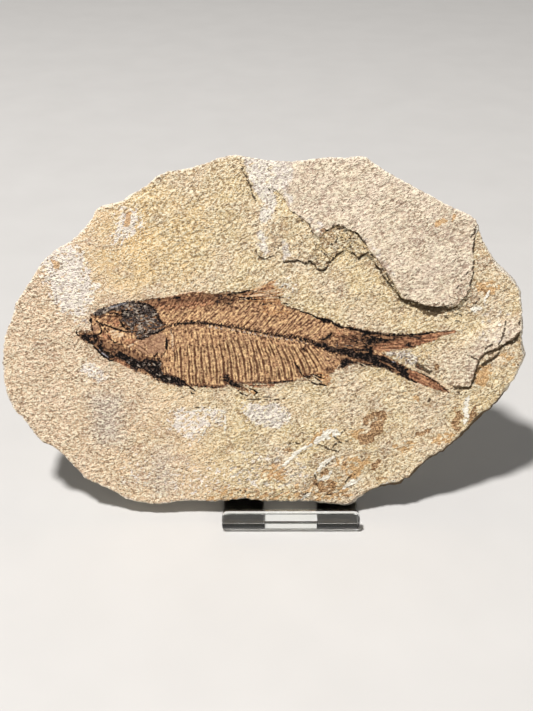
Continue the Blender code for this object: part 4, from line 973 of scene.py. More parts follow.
def signed_distance(points, outline):
    """Distance from an outline, negative inside it."""
    off, _ = line_distance(points, outline, closed=True)
    return np.where(inside(points, outline), -off, off)


def stroke_distance(points, line, width, thinning, end):
    """Distance from a line in half widths; the line thins by a share of its width at the ends."""
    off, share = line_distance(points, line)
    arch = np.sin(np.clip(share, end, 1 - end) * math.pi)
    return off / (width * (1 - thinning + thinning * arch))


def crowded(points, others, cell):
    """Which points are within about a cell of any of the others."""
    low = np.minimum(points.min(0), others.min(0)) - 3 * cell
    high = np.maximum(points.max(0), others.max(0)) + 3 * cell
    taken = np.zeros(tuple(np.ceil((high - low) / cell).astype(int)), bool)
    place = np.floor((others - low) / cell).astype(int)
    for dx in (-1, 0, 1):
        for dy in (-1, 0, 1):
            taken[place[:, 0] + dx, place[:, 1] + dy] = True
    place = np.floor((points - low) / cell).astype(int)
    return taken[place[:, 0], place[:, 1]]


def hex_grid(outline, spacing, seed):
    """Points of an uneven triangular grid inside an outline."""
    low, high = outline.min(0), outline.max(0)
    rows = np.arange(low[1], high[1], spacing * math.sqrt(0.75))
    columns = np.arange(low[0], high[0], spacing)
    u, v = np.meshgrid(columns, rows)
    u[1::2] += spacing / 2
    points = np.stack([u.ravel(), v.ravel()], 1)
    draws = np.random.default_rng(seed).uniform(-GRID_JITTER, GRID_JITTER, points.shape)
    points += draws * spacing
    return points[inside(points, outline)]


def triangulate(rim, lines, grid):
    """Triangles over a rim, with the lines as edges. The rim's points come first."""
    points = [rim]
    edges = [(i, (i + 1) % len(rim)) for i in range(len(rim))]
    count = len(rim)
    for line in lines:
        edges += [(count + i, count + i + 1) for i in range(len(line) - 1)]
        points.append(line)
        count += len(line)
    points = np.vstack(points + [grid])
    made = delaunay_2d_cdt([Vector(p) for p in points.tolist()], edges, [], 0, 1e-7)
    places = np.array([tuple(p) for p in made[0]])
    faces = np.array([face for face in made[2] if len(face) == 3])
    faces = faces[inside(places[faces].mean(1), rim)]
    a, b, c = (places[faces[:, i]] for i in range(3))
    area = (b[:, 0] - a[:, 0]) * (c[:, 1] - a[:, 1]) - (b[:, 1] - a[:, 1]) * (c[:, 0] - a[:, 0])
    faces = faces[np.abs(area) > 1e-7]
    area = area[np.abs(area) > 1e-7]
    faces[area < 0] = faces[area < 0][:, ::-1]
    return places, faces


def band(upper, lower):
    """Triangles between two rings with as many points, given as point numbers."""
    after = np.roll(lower, -1)
    return [
        np.column_stack([upper, lower, after]),
        np.column_stack([upper, after, np.roll(upper, -1)]),
    ]


# ---- Slab: shape ----
RIM = roughened(rounded(SLAB_OUTLINE, FACE_SPACING), RIM_ROUGHNESS, 40)
FISH_PATCH = rounded(FISH_PATCH_OUTLINE, PATCH_SPACING)
BEDS = {
    name: roughened(rounded(outline, BED_SPACING), BED_ROUGHNESS, seed)
    for name, outline, seed in (
        ("flake", FLAKE, 51),
        ("step", PLATE_STEP, 52),
        ("plate", PLATE, 53),
        ("under", UNDER_LAMINA, 55),
        ("lamina", LAMINA, 54),
    )
}


def on_beds(places):
    """Which places are on which bed."""
    return {name: inside(places, outline) for name, outline in BEDS.items()}


def lamina_fade(u, v):
    """1 at the lamina's broken lower edge, and 0 up the slab, where it has no edge."""
    return smooth(5, -5, v - 0.45 * (u - 84))


def bed_rises(u, v, beds):
    """Height of the beds over the fish's bed; beds holds which points are on which bed."""
    flake = FLAKE_RISE * (0.35 + 0.65 * smooth(-6, 20, u)) * smooth(78, 40, v)
    sunk = 0.72 * smooth(13, 24, v) * smooth(64, 80, u)
    plate = PLATE_RISE * (0.45 + 0.55 * smooth(8, 45, u)) * (1 - sunk)
    lamina = LAMINA_RISE * (0.1 + 0.9 * smooth(72, 86, u)) * lamina_fade(u, v)
    rise = np.where(beds["flake"], flake, 0.0)
    rise = np.where(beds["step"], PLATE_RISE * 0.62, rise)
    rise = np.where(beds["plate"], plate, rise)
    rise = np.where(beds["under"], LAMINA_RISE * 0.5, rise)
    return np.where(beds["lamina"], lamina, rise)


def wrinkles(u, v):
    """The pebbled grain of the split: low rounded swellings, drawn out along the bed's grain."""
    total = np.zeros_like(u)
    drift_u = 0.8 * noise(u / 7, v / 7, 60)
    drift_v = 0.8 * noise(u / 7, v / 7, 61)
    right = smooth(-75, -20, u + 0.4 * v)
    for degrees, share, seed in ((28, right, 62), (6, 1 - right, 66)):
        x, y = turned(u + drift_u, v + drift_v, degrees)
        coarse = noise(x / 4.4, y / 2.2, seed)
        fine = noise(x / 2.2, y / 1.3, seed + 1)
        total += share * (coarse * 0.6 + fine * 0.6)
    return total * (0.8 + 0.5 * fractal(u / 9, v / 9, 68, 2))


def stone_height(u, v, beds):
    """Height of the split face, and its grain."""
    x, y = turned(u, v, 36)
    waves = 0.35 * fractal(u / 14, v / 14, 70, 2) + 0.24 * noise(x / 5.5, y / 3.2, 71)
    grain = wrinkles(u, v)
    plain = np.where(beds["plate"] | beds["lamina"], 0.9, 1.0)
    return bed_rises(u, v, beds) + waves + GRAIN_HEIGHT * plain * grain, grain


def kept_runs(line):
    """The stretches of a closed line that lie on the slab, clear of its rim."""
    line = looped(line)
    keep = inside(line, RIM) & ~crowded(line, RIM, RIM_CLEARANCE)
    runs, start = [], None
    for i, kept in enumerate(keep):
        if kept and start is None:
            start = i
        if start is not None and (not kept or i == len(keep) - 1):
            if i - start > 3:
                runs.append(line[start:i])
            start = None
    return runs


def make_face():
    """Points and triangles of the slab's face, and which points are in the pocket for the fish."""
    ring = FISH_PATCH
    floor = ring - line_normals(ring) * (POCKET_SLOPE * winding(ring))
    lines = [looped(ring), looped(floor)]
    for outline in BEDS.values():
        for shift in BED_EDGE:
            lines += kept_runs(outline + line_normals(outline) * (shift * winding(outline)))
    grid = hex_grid(RIM, FACE_SPACING, 5)
    spared = np.random.default_rng(7).uniform(size=len(grid)) < POCKET_SHARE
    grid = grid[~inside(grid, floor) | spared]
    grid = grid[~crowded(grid, np.vstack([RIM] + lines), FACE_CLEARANCE)]
    places, faces = triangulate(RIM, lines, grid)
    return places, faces, signed_distance(places, ring) < POCKET_EDGE


def rim_chips(places):
    """How far the rim is chipped at each place, and where it is broken off steeply."""
    u, v = places.T
    near = np.full(len(places), CHIP_REACH)
    beside = crowded(places, RIM, 3.0)
    near[beside], _ = line_distance(places[beside], RIM[::2], closed=True)
    steep = smooth(0.9, 0.95, (0.81 * u - 0.585 * v) / np.hypot(u, v))
    reach = 0.35 + 0.9 * smooth(-0.2, 0.7, fractal(u / 6, v / 6, 90, 2)) + 0.7 * steep
    return np.clip(1 - near / reach, 0, 1), steep


def side_ring(share):
    """The rim, moved to where the broken side stands at a share of its depth."""
    u, v = RIM.T
    share = np.full(len(RIM), share)
    outward = np.stack([u, v], 1) / np.hypot(u, v)[:, None]
    around = np.arctan2(v, u) * SLAB_HALF_WIDTH
    lower_right = smooth(0.2, 0.8, outward @ np.array([0.75, -0.66]))
    layers = 0.28 * fractal(around / 14, share * 9, 81) + 0.22 * noise(around / 2.2, share * 4, 85)
    lumps = 0.9 * (fractal(around / 9, share * 1.6, 83, 2) * 0.7 - 0.75 + 2.2 * lower_right)
    out = lumps * smooth(0.0, 0.35, share) + layers * smooth(0.0, 0.08, share)
    return RIM + line_normals(RIM) * out[:, None]


def side_row(top, share):
    """One row of points round the broken side; no row passes the ledge that the slab rests on."""
    depth = top + (-SLAB_THICKNESS - top) * share
    ring = side_ring(share)
    ledge = REST_LEVEL - (depth + SLAB_THICKNESS) * math.tan(math.radians(SLAB_LEAN))
    ring[:, 1] = np.maximum(ring[:, 1], ledge)
    return np.column_stack([ring, depth])


def make_back():
    """Points and triangles of the split back, its rim first."""
    ring = side_ring(1.0)
    ring[:, 1] = np.maximum(ring[:, 1], REST_LEVEL)
    lines = []
    for ledge in (BACK_LEDGE_LEFT, BACK_LEDGE_RIGHT):
        line = roughened(resample(ledge, 1.0), LEDGE_ROUGHNESS, 95, closed=False)
        lines += [line, line + line_normals(line, False) * LEDGE_RUN]
    grid = hex_grid(ring, BACK_SPACING, 6)
    grid = grid[~crowded(grid, np.vstack([ring] + lines), BACK_CLEARANCE)]
    places, faces = triangulate(ring, lines, grid)
    u, v = places.T
    spalled = inside(places, BACK_LEDGE_LEFT + LEFT_END)
    spalled |= inside(places, BACK_LEDGE_RIGHT + RIGHT_END)
    rough = 0.35 * (1 + fractal(u / 16, v / 16, 97)) + 0.12 * (1 + fractal(u / 4, v / 4, 98))
    depth = -SLAB_THICKNESS + BACK_SPALL * spalled + np.clip(rough, 0, 1.2)
    depth[: len(ring)] = -SLAB_THICKNESS + BACK_EDGE
    return np.column_stack([places, depth]), faces


def make_slab(material):
    places, faces, in_pocket = make_face()
    beds = on_beds(places)
    height, grain = stone_height(*places.T, beds)
    chipped, steep = rim_chips(places)
    height = height - 0.55 * chipped ** 2 - 2.4 * steep * chipped
    height = np.where(in_pocket, -POCKET_DEPTH, height)

    count = len(RIM)
    back, back_faces = make_back()
    rows = [side_row(height[:count], row / SIDE_ROWS) for row in range(1, SIDE_ROWS)]
    points = [np.column_stack([places, height])] + rows + [back]
    starts = np.cumsum([0] + [len(part) for part in points[:-1]])
    rings = [start + np.arange(count) for start in starts]
    faces = [faces]
    for upper, lower in zip(rings, rings[1:]):
        faces += band(upper, lower)
    faces.append(back_faces[:, ::-1] + starts[-1])

    masks = stone_masks(places, beds, grain)
    # Pale broken stone on the chipped rim, the sides and the back; on the chipped rim and the sides
    # it is partly a painted highlight where the edge catches the light.
    masks["broken"] = smooth(0.15, 0.6, chipped) * (1 - steep)
    # Painted shade on the steep lower right chamfer and side, which face away from the light.
    mark(masks, "shade", steep * smooth(0.1, 0.5, chipped))
    on_side = {"broken": 1 - steep[:count], "shade": steep[:count]}
    for name in masks:
        side = np.tile(on_side.get(name, np.zeros(count)), SIDE_ROWS - 1)
        behind = np.full(len(back), float(name == "broken"))
        masks[name] = np.concatenate([masks[name], side, behind])
    return new_piece("stone_slab_face", np.vstack(points), np.vstack(faces), material, masks)


# ---- Masks ----
def broken_up(density, grit, swing=0.9):
    """How far a mark covers each place: a density from 0 to 1, broken into islands by the grit."""
    return smooth(0.36, 0.64, density * 1.35 - 0.35 + swing * grit)


def table_rows(table):
    """Each mark of a table, after the name of its mask."""
    return [(name, *row) for name, rows in table.items() for row in rows]


def mark(masks, name, cover):
    """Add a cover to a mask, which keeps the stronger of the two at each place."""
    masks[name] = np.maximum(masks[name], cover)


def stone_masks(places, beds, grain):
    """Masks of the stone's colours and marks, each from 0 to about 1."""
    u, v = places.T
    masks = {name: np.zeros(len(places)) for name in [*PATCHES, *STROKES]}
    warp = np.stack([fractal(u / 5, v / 5, 101), fractal(u / 5, v / 5, 102)], 1)
    warped = places + warp * 1.6
    ragged = fractal(u / 1.5, v / 1.5, 103)
    x, y = turned(u, v, 28)
    grit = fractal(x / 2.6, y / 1.5, 104)
    fine = fractal(x / 1.2, y / 0.9, 105, 2)
    for name, softness, strength, outline in table_rows(PATCHES):
        off = signed_distance(warped, outline) + ragged * softness * 0.6
        cover = strength * smooth(softness, -softness, off)
        if name == "pale":
            cover = broken_up(cover, 0.6 * grit + 0.6 * fine, 1.2)
        if name in FRAYED_PATCHES:
            cover = broken_up(cover, grit, 0.8)
        if name in RIMMED_PATCHES:
            edge = smooth(0.7, 0.1, np.abs(off)) * smooth(0.2, 0.6, cover)
            mark(masks, "rim", edge * RIMMED_PATCHES[name])
        mark(masks, name, cover)
    for name, width, strength, line in table_rows(STROKES):
        off = stroke_distance(places, line, width, *STONE_TAPER)
        mark(masks, name, broken_up(strength * smooth(1.9, 0.3, off), ragged, 1.0))
    masks["plate"] = beds["plate"] + beds["lamina"] * smooth(74, 88, u) * lamina_fade(u, v)
    masks["level"] = smooth(-20, -75, u + 0.4 * v)
    # Where the mesh's grain dips, for painted shade in its creases.
    masks["crease"] = smooth(-0.1, -0.5, grain)
    return masks


# ---- Fish ----
def height_on(line, u):
    return np.interp(u, *np.array(line, float).T)


def repeated(root, spacings):
    """Offset in mm from the nearest of a row of lines, and its number; the spacing narrows."""
    first, last = spacings
    change = (last - first) / 56
    spacing = np.clip(first + change * (root + 36), last * 0.9, first * 1.1)
    phase = np.log(spacing / first) / change
    which = np.round(phase)
    return (phase - which) * spacing, which


def rib_roots(u, down):
    """Where the rib through each place starts on the column; the rear ribs sweep back further."""
    root = u
    for _ in range(4):
        lean = 0.8 + 8.0 * np.clip((root + 34) / 54, 0, 1.1)
        root = u - lean * (1 - (1 - np.minimum(down, 1)) ** 1.7)
    return root


def rib_masks(u, v, root, down, below_column):
    """Masks of the ribs, with a thin one between most pairs, and of the raised film beside them."""
    off, which = repeated(root, RIB_SPACING)
    off = off + 0.35 * noise(which * 5.3, v * 0 + 0.5, 119)
    width = 0.26 + 0.1 * noise(which * 7.3, v / 9, 121)
    fading = np.clip(0.75 + 0.45 * noise(which * 3.1, v / 3.5, 122), 0.25, 1)
    high = 0.16 * smooth(-26, -16, u)
    strength = smooth(0.2 - high, 0.5 - high, down) * smooth(1.02, 0.93, down) * fading
    strength = strength * smooth(-37, -34, u) * smooth(27, 20, u) * below_column
    rib = smooth(width * 2.2, width * 0.5, np.abs(off)) * strength
    ridge = smooth(0.42, 0.1, np.abs(np.abs(off) - 0.72)) * strength
    between = smooth(0.32, 0.1, np.abs(np.abs(off) - 1.1))
    between = between * smooth(0.0, 0.4, noise(which * 2.7, v / 4, 125))
    return np.maximum(rib, 0.7 * between * strength), ridge


def spine_mask(u, v, root, up):
    """Mask of the spines over the column, the thin bones of the rear and the hatching in front."""
    off, which = repeated(root, RIB_SPACING)
    fading = np.clip(0.6 + 0.8 * noise(which * 3.7, v / 1.6, 123), 0, 1)
    reach = np.where(u > -9, smooth(0.62, 0.38, up), smooth(0.2, 0.1, up))
    hatch = smooth(0.42, 0.55, up) * smooth(-14, -22, u)
    strength = smooth(1.0, 0.88, up) * smooth(-0.02, 0.03, up) * fading
    strength = strength * np.maximum(reach, 0.7 * hatch) * smooth(-42, -38, u) * smooth(26, 20, u)
    return smooth(0.42, 0.12, np.abs(off)) * strength


def bone_rows(u, v):
    """Masks of ribs, of the ridges beside them and of spines, and the streaks along them."""
    column, belly, back = (height_on(line, u) for line in (COLUMN, BELLY, BACK))
    wander = 0.35 * noise(u / 5, v / 7, 120)
    down = np.clip((column - v) / (column - belly), 0, 1.3)
    root = rib_roots(u, down)
    rib, ridge = rib_masks(u, v, root + wander, down, v < column)
    up = np.clip((v - column) / np.maximum(back - column, 1), 0, 1.3)
    tip = u - 0.95 * (v - column) + 0.02 * (v - column) ** 2
    spine = spine_mask(u, v, tip + wander, up)
    line = np.where(v < column, root, tip)
    streak = 0.75 * noise(line / 0.75, v / 3.0, 124) + 0.65 * noise(line / 0.42, v / 1.7, 126)
    across, rise = u - TAIL_FAN[0], v - TAIL_FAN[1]
    turn, reach = np.arctan2(rise, across), np.hypot(rise, across)
    fanned = 0.7 * noise(turn * 60, reach / 5, 127) + 0.4 * noise(turn * 110, reach / 3, 128)
    tail = smooth(22, 30, u)
    return rib, ridge, spine, streak * (1 - tail) + fanned * tail


def fish_masks(places):
    """Masks of the film, the bones and the marks of the fish, each from 0 to about 1."""
    u, v = places.T
    masks = {name: np.zeros(len(places)) for name in [*FISH_AREAS, *FISH_STROKES]}
    ragged = fractal(u / 0.9, v / 0.9, 130)
    fine = fractal(u / 0.5, v / 0.5, 131, 2)
    body = signed_distance(places, FISH_BODY)
    fin = smooth(0, 10, u) * smooth(12.3, 14.5, v - 0.2 * u)
    masks["film"] = broken_up(smooth(0.8, -0.8, body) * (1 - 0.75 * fin), ragged, 0.6)
    rib, ridge, spine, streak = bone_rows(u, v)
    mottle = fractal(u / 1.1, v / 0.9, 132)
    masks["streak"] = np.clip(0.5 + 0.42 * streak + 0.42 * mottle, 0, 1)
    masks["rib"] = np.maximum(rib, spine) * masks["film"]
    masks["ridge"] = ridge * masks["film"]
    for name, softness, strength, degrees, outline in table_rows(FISH_AREAS):
        x, y = turned(u, v, degrees)
        grit = fractal(x / 1.9, y / 0.75, 133 + len(outline))
        off = signed_distance(places, outline) + 0.35 * ragged
        density = abs(strength) * smooth(softness, -softness, off)
        apply_mark(masks, name, strength, broken_up(density, grit))
        if name in ("carbon", "crust") and strength > 0:
            halo = 0.85 * smooth(softness + 1.0, -0.5 * softness, off)
            mark(masks, "dusk", broken_up(halo, ragged, 0.8))
    for name, width, strength, line in table_rows(FISH_STROKES):
        off = stroke_distance(places, line, width, *FISH_TAPER)
        density = abs(strength) * smooth(1.9, 0.6, off)
        apply_mark(masks, name, strength, broken_up(density, 0.7 * ragged + 0.5 * fine, 0.8))
        if name == "carbon" and strength > 0:
            mark(masks, "dusk", broken_up(0.7 * smooth(3.0, 0.8, off), ragged, 0.8))
    contour = smooth(1.1, 0.2, np.abs(body + 0.3))
    mark(masks, "dusk", broken_up(0.45 * contour * (1 - fin), ragged, 1.0))
    add_back_fin(u, v, masks)
    add_column(places, masks, ragged, fine)
    return masks


def apply_mark(masks, name, strength, cover):
    """Add a cover to a mask, or take it away where the strength is below zero."""
    if strength > 0:
        mark(masks, name, cover)
    else:
        masks[name] = masks[name] * (1 - cover)


def add_back_fin(u, v, masks):
    """Rays of the back fin, spreading to the right from its root."""
    across, up = u - BACK_FIN[0], v - BACK_FIN[1]
    turn, reach = np.arctan2(up, across), np.hypot(across, up)
    ray = 0.8 * noise(turn * 24, reach / 9, 134) + 0.5 * noise(turn * 50, reach / 4, 135)
    fan = smooth(-0.2, -0.02, turn) * smooth(0.46, 0.33, turn)
    fan = fan * smooth(2, 5, reach) * smooth(26, 17, reach)
    for name, density in (("orange", 0.85), ("rust", 0.56), ("dusk", 0.42)):
        mark(masks, name, broken_up(density * fan, ray, 0.8))
    mark(masks, "light", broken_up(0.5 * fan, -ray, 0.8))


def add_column(places, masks, ragged, fine):
    """The dark broken line of the backbone, its short spines, and the pale beads under it."""
    u, v = places.T
    off, _ = line_distance(places, COLUMN)
    above = v - height_on(COLUMN, u)
    width = 0.42 + 0.14 * smooth(-20, -32, u) + 0.35 * smooth(4, 16, u) + 0.5 * smooth(19, 27, u)
    strength = 0.86 - 0.3 * smooth(-33, -38, u) - 0.12 * smooth(-16, 0, u)
    core = strength * smooth(1.9, 0.5, off / width)
    spines, _ = repeated(u - 0.5 * above, BEAD_SPACING)
    tick = 0.85 * smooth(0.5, 0.15, np.abs(spines))
    tick = tick * smooth(1.7, 0.9, above) * smooth(-0.3, 0.1, above)
    beads, _ = repeated(u + 0.6, BEAD_SPACING)
    under = 0.8 * smooth(0.5, 0.15, np.abs(beads))
    under = under * smooth(0.75, 0.2, np.abs(above + 1.5)) * smooth(-26, -20, u)
    end = smooth(40, 36, u)
    density = np.maximum(core, np.maximum(tick, under) * smooth(-38, -34, u)) * end
    mark(masks, "carbon", broken_up(density, 0.7 * ragged + 0.7 * fine, 0.9))
    mark(masks, "dusk", broken_up(0.72 * smooth(2.4, 0.6, off / (width + 0.25)) * end, ragged))
    row = smooth(0.8, 0.3, np.abs(above + 0.95)) * smooth(-25, -20, u) * smooth(22, 14, u)
    masks["bead"] = row * smooth(0.3, 0.7, np.abs(beads)) * smooth(-0.5, 0.2, ragged)


def fish_relief(places, masks):
    """How far the film, the bones and the crust stand over the stone's own face."""
    u, v = places.T
    lumps = fractal(u / 0.8, v / 0.8, 140)
    relief = 0.1 * masks["film"] + 0.12 * masks["ridge"] - 0.12 * masks["rib"]
    relief = relief + 0.16 * (masks["streak"] - 0.5) * masks["film"]
    relief = relief + masks["carbon"] * (0.06 + 0.2 * lumps)
    relief = relief + masks["crust"] * (0.3 + 0.3 * lumps)
    relief = relief + 0.14 * masks["bone"] + 0.12 * masks["rust"] + 0.1 * masks["light"]
    socket, _ = line_distance(places, EYE)
    ring = smooth(1.1, 0.2, np.abs(socket - EYE_RADIUS))
    return relief + 0.3 * ring - 0.25 * smooth(2.2, 1.4, socket)


def make_fish(material):
    ring = FISH_PATCH
    grid = hex_grid(ring, FISH_SPACING, 8)
    grid = grid[~crowded(grid, ring, FISH_CLEARANCE)]
    places, faces = triangulate(ring, [], grid)
    beds = on_beds(places)
    height, grain = stone_height(*places.T, beds)
    masks = fish_masks(places)
    edge, _ = line_distance(places, ring, closed=True)
    let_in = smooth(0.0, LET_IN, edge)
    calm = 0.5 * masks["film"] * let_in
    height = height - GRAIN_HEIGHT * grain * calm + fish_relief(places, masks) * let_in

    inner = ring - line_normals(ring) * FISH_DEPTH
    floor, floor_faces = triangulate(inner, [], hex_grid(inner, UNDERSIDE_SPACING, 9))
    under = np.column_stack([floor, np.full(len(floor), -FISH_DEPTH)])
    points = np.vstack([np.column_stack([places, height]), under])
    top = np.arange(len(ring))
    sides = band(top, len(places) + top)
    faces = np.vstack([faces] + sides + [floor_faces[:, ::-1] + len(places)])
    masks.update(stone_masks(places, beds, grain))
    masks["crease"] = masks["crease"] * (1 - 0.75 * masks["film"])
    for name in masks:
        masks[name] = np.concatenate([masks[name], np.zeros(len(under))])
    return new_piece("fossil_fish_film", points, faces, material, masks)


# ---- Making pieces ----
SLAB_TURN = Matrix.Rotation(math.radians(90 - SLAB_LEAN), 4, "X")
SLAB_FRAME = Matrix.Translation(Vector(SLAB_MIDDLE) * MM) @ SLAB_TURN


def new_object(name, data):
    """A new object, linked to the scene."""
    made = bpy.data.objects.new(name, data)
    bpy.context.scene.collection.objects.link(made)
    return made


def new_piece(name, points, faces, material, masks):
    """A mesh in the slab's frame, with each mask as an attribute that its material reads."""
    mesh = bpy.data.meshes.new(name)
    mesh.from_pydata((points * MM).tolist(), [], faces.tolist())
    for mask, values in masks.items():
        layer = mesh.attributes.new(mask, "FLOAT", "POINT")
        layer.data.foreach_set("value", np.ascontiguousarray(values, dtype=np.float32))
    mesh.shade_smooth()
    mesh.set_sharp_from_angle(angle=math.radians(SHARP_ANGLE))
    mesh.materials.append(material)
    piece = new_object(name, mesh)
    piece.matrix_world = SLAB_FRAME
    return piece


# ---- Materials ----
def linear(red, green, blue):
    """A colour given in display values from 0 to 255."""
    shares = (c / 255 for c in (red, green, blue))
    return tuple(((s + 0.055) / 1.055) ** 2.4 if s > 0.04 else s / 12.92 for s in shares) + (1.0,)


# Colours, in display values from 0 to 255.
TONES = {
    "bed left": (230, 206, 158), "bed right": (228, 205, 174), "bed patchy": (222, 196, 154),
    "level ground": (230, 200, 172), "gold ground": (236, 200, 138),
    "plate ground": (230, 212, 191), "pale ground": (244, 234, 226),
    "lilac ground": (232, 222, 212), "grey ground": (198, 178, 162),
    "broken stone and edge light": (248, 236, 220), "white crust": (252, 245, 228), "cloud warm": (248, 245, 236),
    "cloud cool": (255, 252, 250), "cloud dim": (228, 219, 216), "pit shade": (118, 94, 70),
    "scale crease shade": (122, 88, 60), "plate hollow shade": (172, 146, 130), "grain crease shade": (130, 104, 78),
    "crest highlight": (255, 248, 218), "speck shade": (116, 92, 70), "speck highlight": (255, 250, 226),
    "ochre dark": (170, 122, 74), "ochre light": (232, 190, 132), "brown dark": (104, 70, 44),
    "brown light": (204, 164, 118), "stain rim": (104, 72, 46), "crack shade": (66, 48, 32),
    "shade": (86, 68, 46), "film dull": (183, 143, 109), "film bright": (196, 152, 113),
    "film light": (248, 212, 158), "film dark": (84, 54, 40), "bead": (214, 200, 184),
    "ridge": (240, 206, 152), "rib": (84, 50, 36), "glint": (168, 168, 176),
    "bone light": (198, 158, 125), "bone dark": (140, 104, 82), "pale bone": (232, 206, 172),
    "orange dark": (176, 124, 82), "orange light": (228, 184, 130), "rust dark": (128, 84, 62),
    "rust light": (206, 152, 114), "dusk dark": (70, 46, 36), "dusk light": (142, 104, 76),
    "carbon": (13, 9, 8), "carbon chip": (88, 70, 60), "crust black": (22, 17, 17),
    "crust grey": (110, 98, 92), "crust pale": (178, 164, 148), "floor dim": (198, 197, 194),
    "floor bright": (206, 205, 202),
}
CLEAR = (0.97, 0.99, 0.98, 1)

GRAIN_TURN = 28  # degrees that the bed's grain runs up to the right
LEVEL_TURN = 4  # the same at the left end
SCALE_TURN = -38


class Nodes:
    """Short ways to add nodes to a material."""

    def __init__(self, name):
        self.material = bpy.data.materials.new(name)
        self.material.use_nodes = True
        self.tree = self.material.node_tree

    def add(self, kind, **settings):
        node = self.tree.nodes.new(kind)
        for key, value in settings.items():
            setattr(node, key, value)
        return node

    def put(self, node, values):
        """Set a node's inputs, by name or number: a value, a tone or another node's output."""
        for key, value in values.items():
            if isinstance(value, str):
                value = linear(*TONES[value])
            if isinstance(value, (int, float, tuple)):
                node.inputs[key].default_value = value
            else:
                self.tree.links.new(value, node.inputs[key])

    def finish(self, surface):
        self.put(self.tree.nodes["Principled BSDF"], surface)
        return self.material

    def mask(self, name):
        return self.add("ShaderNodeAttribute", attribute_name=name).outputs["Fac"]

    def math(self, operation, *values):
        node = self.add("ShaderNodeMath", operation=operation)
        self.put(node, dict(enumerate(values)))
        return node.outputs[0]

    def plus(self, a, b):
        return self.math("ADD", a, b)

    def times(self, a, b):
        return self.math("MULTIPLY", a, b)

    def scaled(self, a, factor, offset):
        return self.math("MULTIPLY_ADD", a, factor, offset)

    def blend(self, factor, a, b, kind="RGBA", mode="MIX"):
        node = self.add("ShaderNodeMix", data_type=kind, blend_type=mode)
        self.put(node, {"Factor": factor, "A": a, "B": b})
        return node.outputs["Result"]

    def ramp(self, value, low, high):
        """0 at low and 1 at high; it falls where high is the lower of the two."""
        node = self.add("ShaderNodeMapRange", interpolation_type="SMOOTHSTEP")
        self.put(node, {"Value": value, "From Min": low, "From Max": high})
        return node.outputs["Result"]

    def tones(self, value, low, high, at_low, at_high):
        """A colour that turns from one to another as a value rises."""
        return self.blend(self.ramp(value, low, high), at_low, at_high)

    def place(self, degrees=0.0, stretch=1.0):
        """Coordinates in millimetres on the piece, turned and then stretched along the turn."""
        node = self.add("ShaderNodeMapping", vector_type="TEXTURE")
        self.put(node, {
            "Vector": self.add("ShaderNodeTexCoord").outputs["Object"],
            "Rotation": (0, 0, math.radians(degrees)),
            "Scale": (MM * stretch, MM, MM),
        })
        return node.outputs["Vector"]

    def noise(self, place, size, detail=3.0, roughness=0.55, distortion=0.0):
        node = self.add("ShaderNodeTexNoise")
        self.put(node, {
            "Vector": place, "Scale": 1 / size, "Detail": detail, "Roughness": roughness,
            "Distortion": distortion,
        })
        return node.outputs["Fac"]

    def bump(self, height):
        node = self.add("ShaderNodeBump")
        self.put(node, {"Strength": 1.0, "Distance": BUMP_HEIGHT * MM, "Height": height})
        return node.outputs["Normal"]


def pebbles(nodes, degrees):
    """Small rounded lumps of the split, from 0 in the pits to 1 on the crests."""
    raw = nodes.noise(nodes.place(degrees, 1.35), 0.95, 1.5, 0.5, 0.5)
    return nodes.ramp(raw, 0.3, 0.66)


def scales(nodes, degrees):
    """Lapping scales of split stone: a height for each one, and the creases between them."""
    place = nodes.place(degrees, 2.1)
    bend = nodes.add("ShaderNodeTexNoise")
    nodes.put(bend, {"Vector": place, "Scale": 0.6})
    bent = nodes.add("ShaderNodeVectorMath", operation="MULTIPLY_ADD")
    nodes.put(bent, {0: bend.outputs["Color"], 1: (2.2, 2.2, 0), 2: place})
    outputs = []
    for feature, output in (("F1", "Color"), ("DISTANCE_TO_EDGE", "Distance")):
        cells = nodes.add("ShaderNodeTexVoronoi", feature=feature)
        nodes.put(cells, {"Vector": bent.outputs[0], "Scale": 0.42})
        outputs.append(cells.outputs[output])
    rise, gap = outputs
    return rise, nodes.ramp(gap, 0.13, 0.0)


def stone_layers(nodes):
    """Colour and height nodes of the bare stone."""
    flat = nodes.place()
    patchy = nodes.noise(flat, 5, 4, 0.6)
    speck = nodes.noise(nodes.place(GRAIN_TURN, 1.2), 0.5, 2, 0.6)
    swells = nodes.noise(nodes.place(GRAIN_TURN, 1.6), 2.4, 2)
    grain = nodes.blend(
        nodes.mask("level"), pebbles(nodes, GRAIN_TURN), pebbles(nodes, LEVEL_TURN), "FLOAT"
    )
    vigour = nodes.ramp(nodes.noise(flat, 6.5, 2), 0.3, 0.7)
    rise, gap = scales(nodes, SCALE_TURN)
    flaky = nodes.ramp(nodes.scaled(patchy, 0.8, nodes.mask("flaky")), 0.7, 1.2)

    colour = ground_colour(nodes, flat, patchy, speck)
    colour = grain_shade_and_highlight(nodes, colour, grain, swells, vigour, flaky, gap)
    colour = speck_shade_and_highlight(nodes, colour, speck)
    colour, covers = marked_colour(nodes, colour, patchy, speck)

    height = nodes.times(grain, nodes.scaled(vigour, 0.22, 0.24))
    height = nodes.plus(height, nodes.times(swells, 0.5))
    height = nodes.plus(height, nodes.times(speck, 0.52))
    smoothed = nodes.math("MAXIMUM", nodes.mask("plate"), nodes.times(nodes.mask("lilac"), 1.6))
    height = nodes.times(height, nodes.scaled(smoothed, -0.18, 1.0))
    step = nodes.scaled(gap, -0.35, nodes.times(rise, 0.9))
    height = nodes.plus(height, nodes.times(flaky, step))
    height = nodes.plus(height, nodes.times(covers["white"], 0.4))
    return colour, nodes.plus(height, nodes.times(covers["dark"], -0.45))


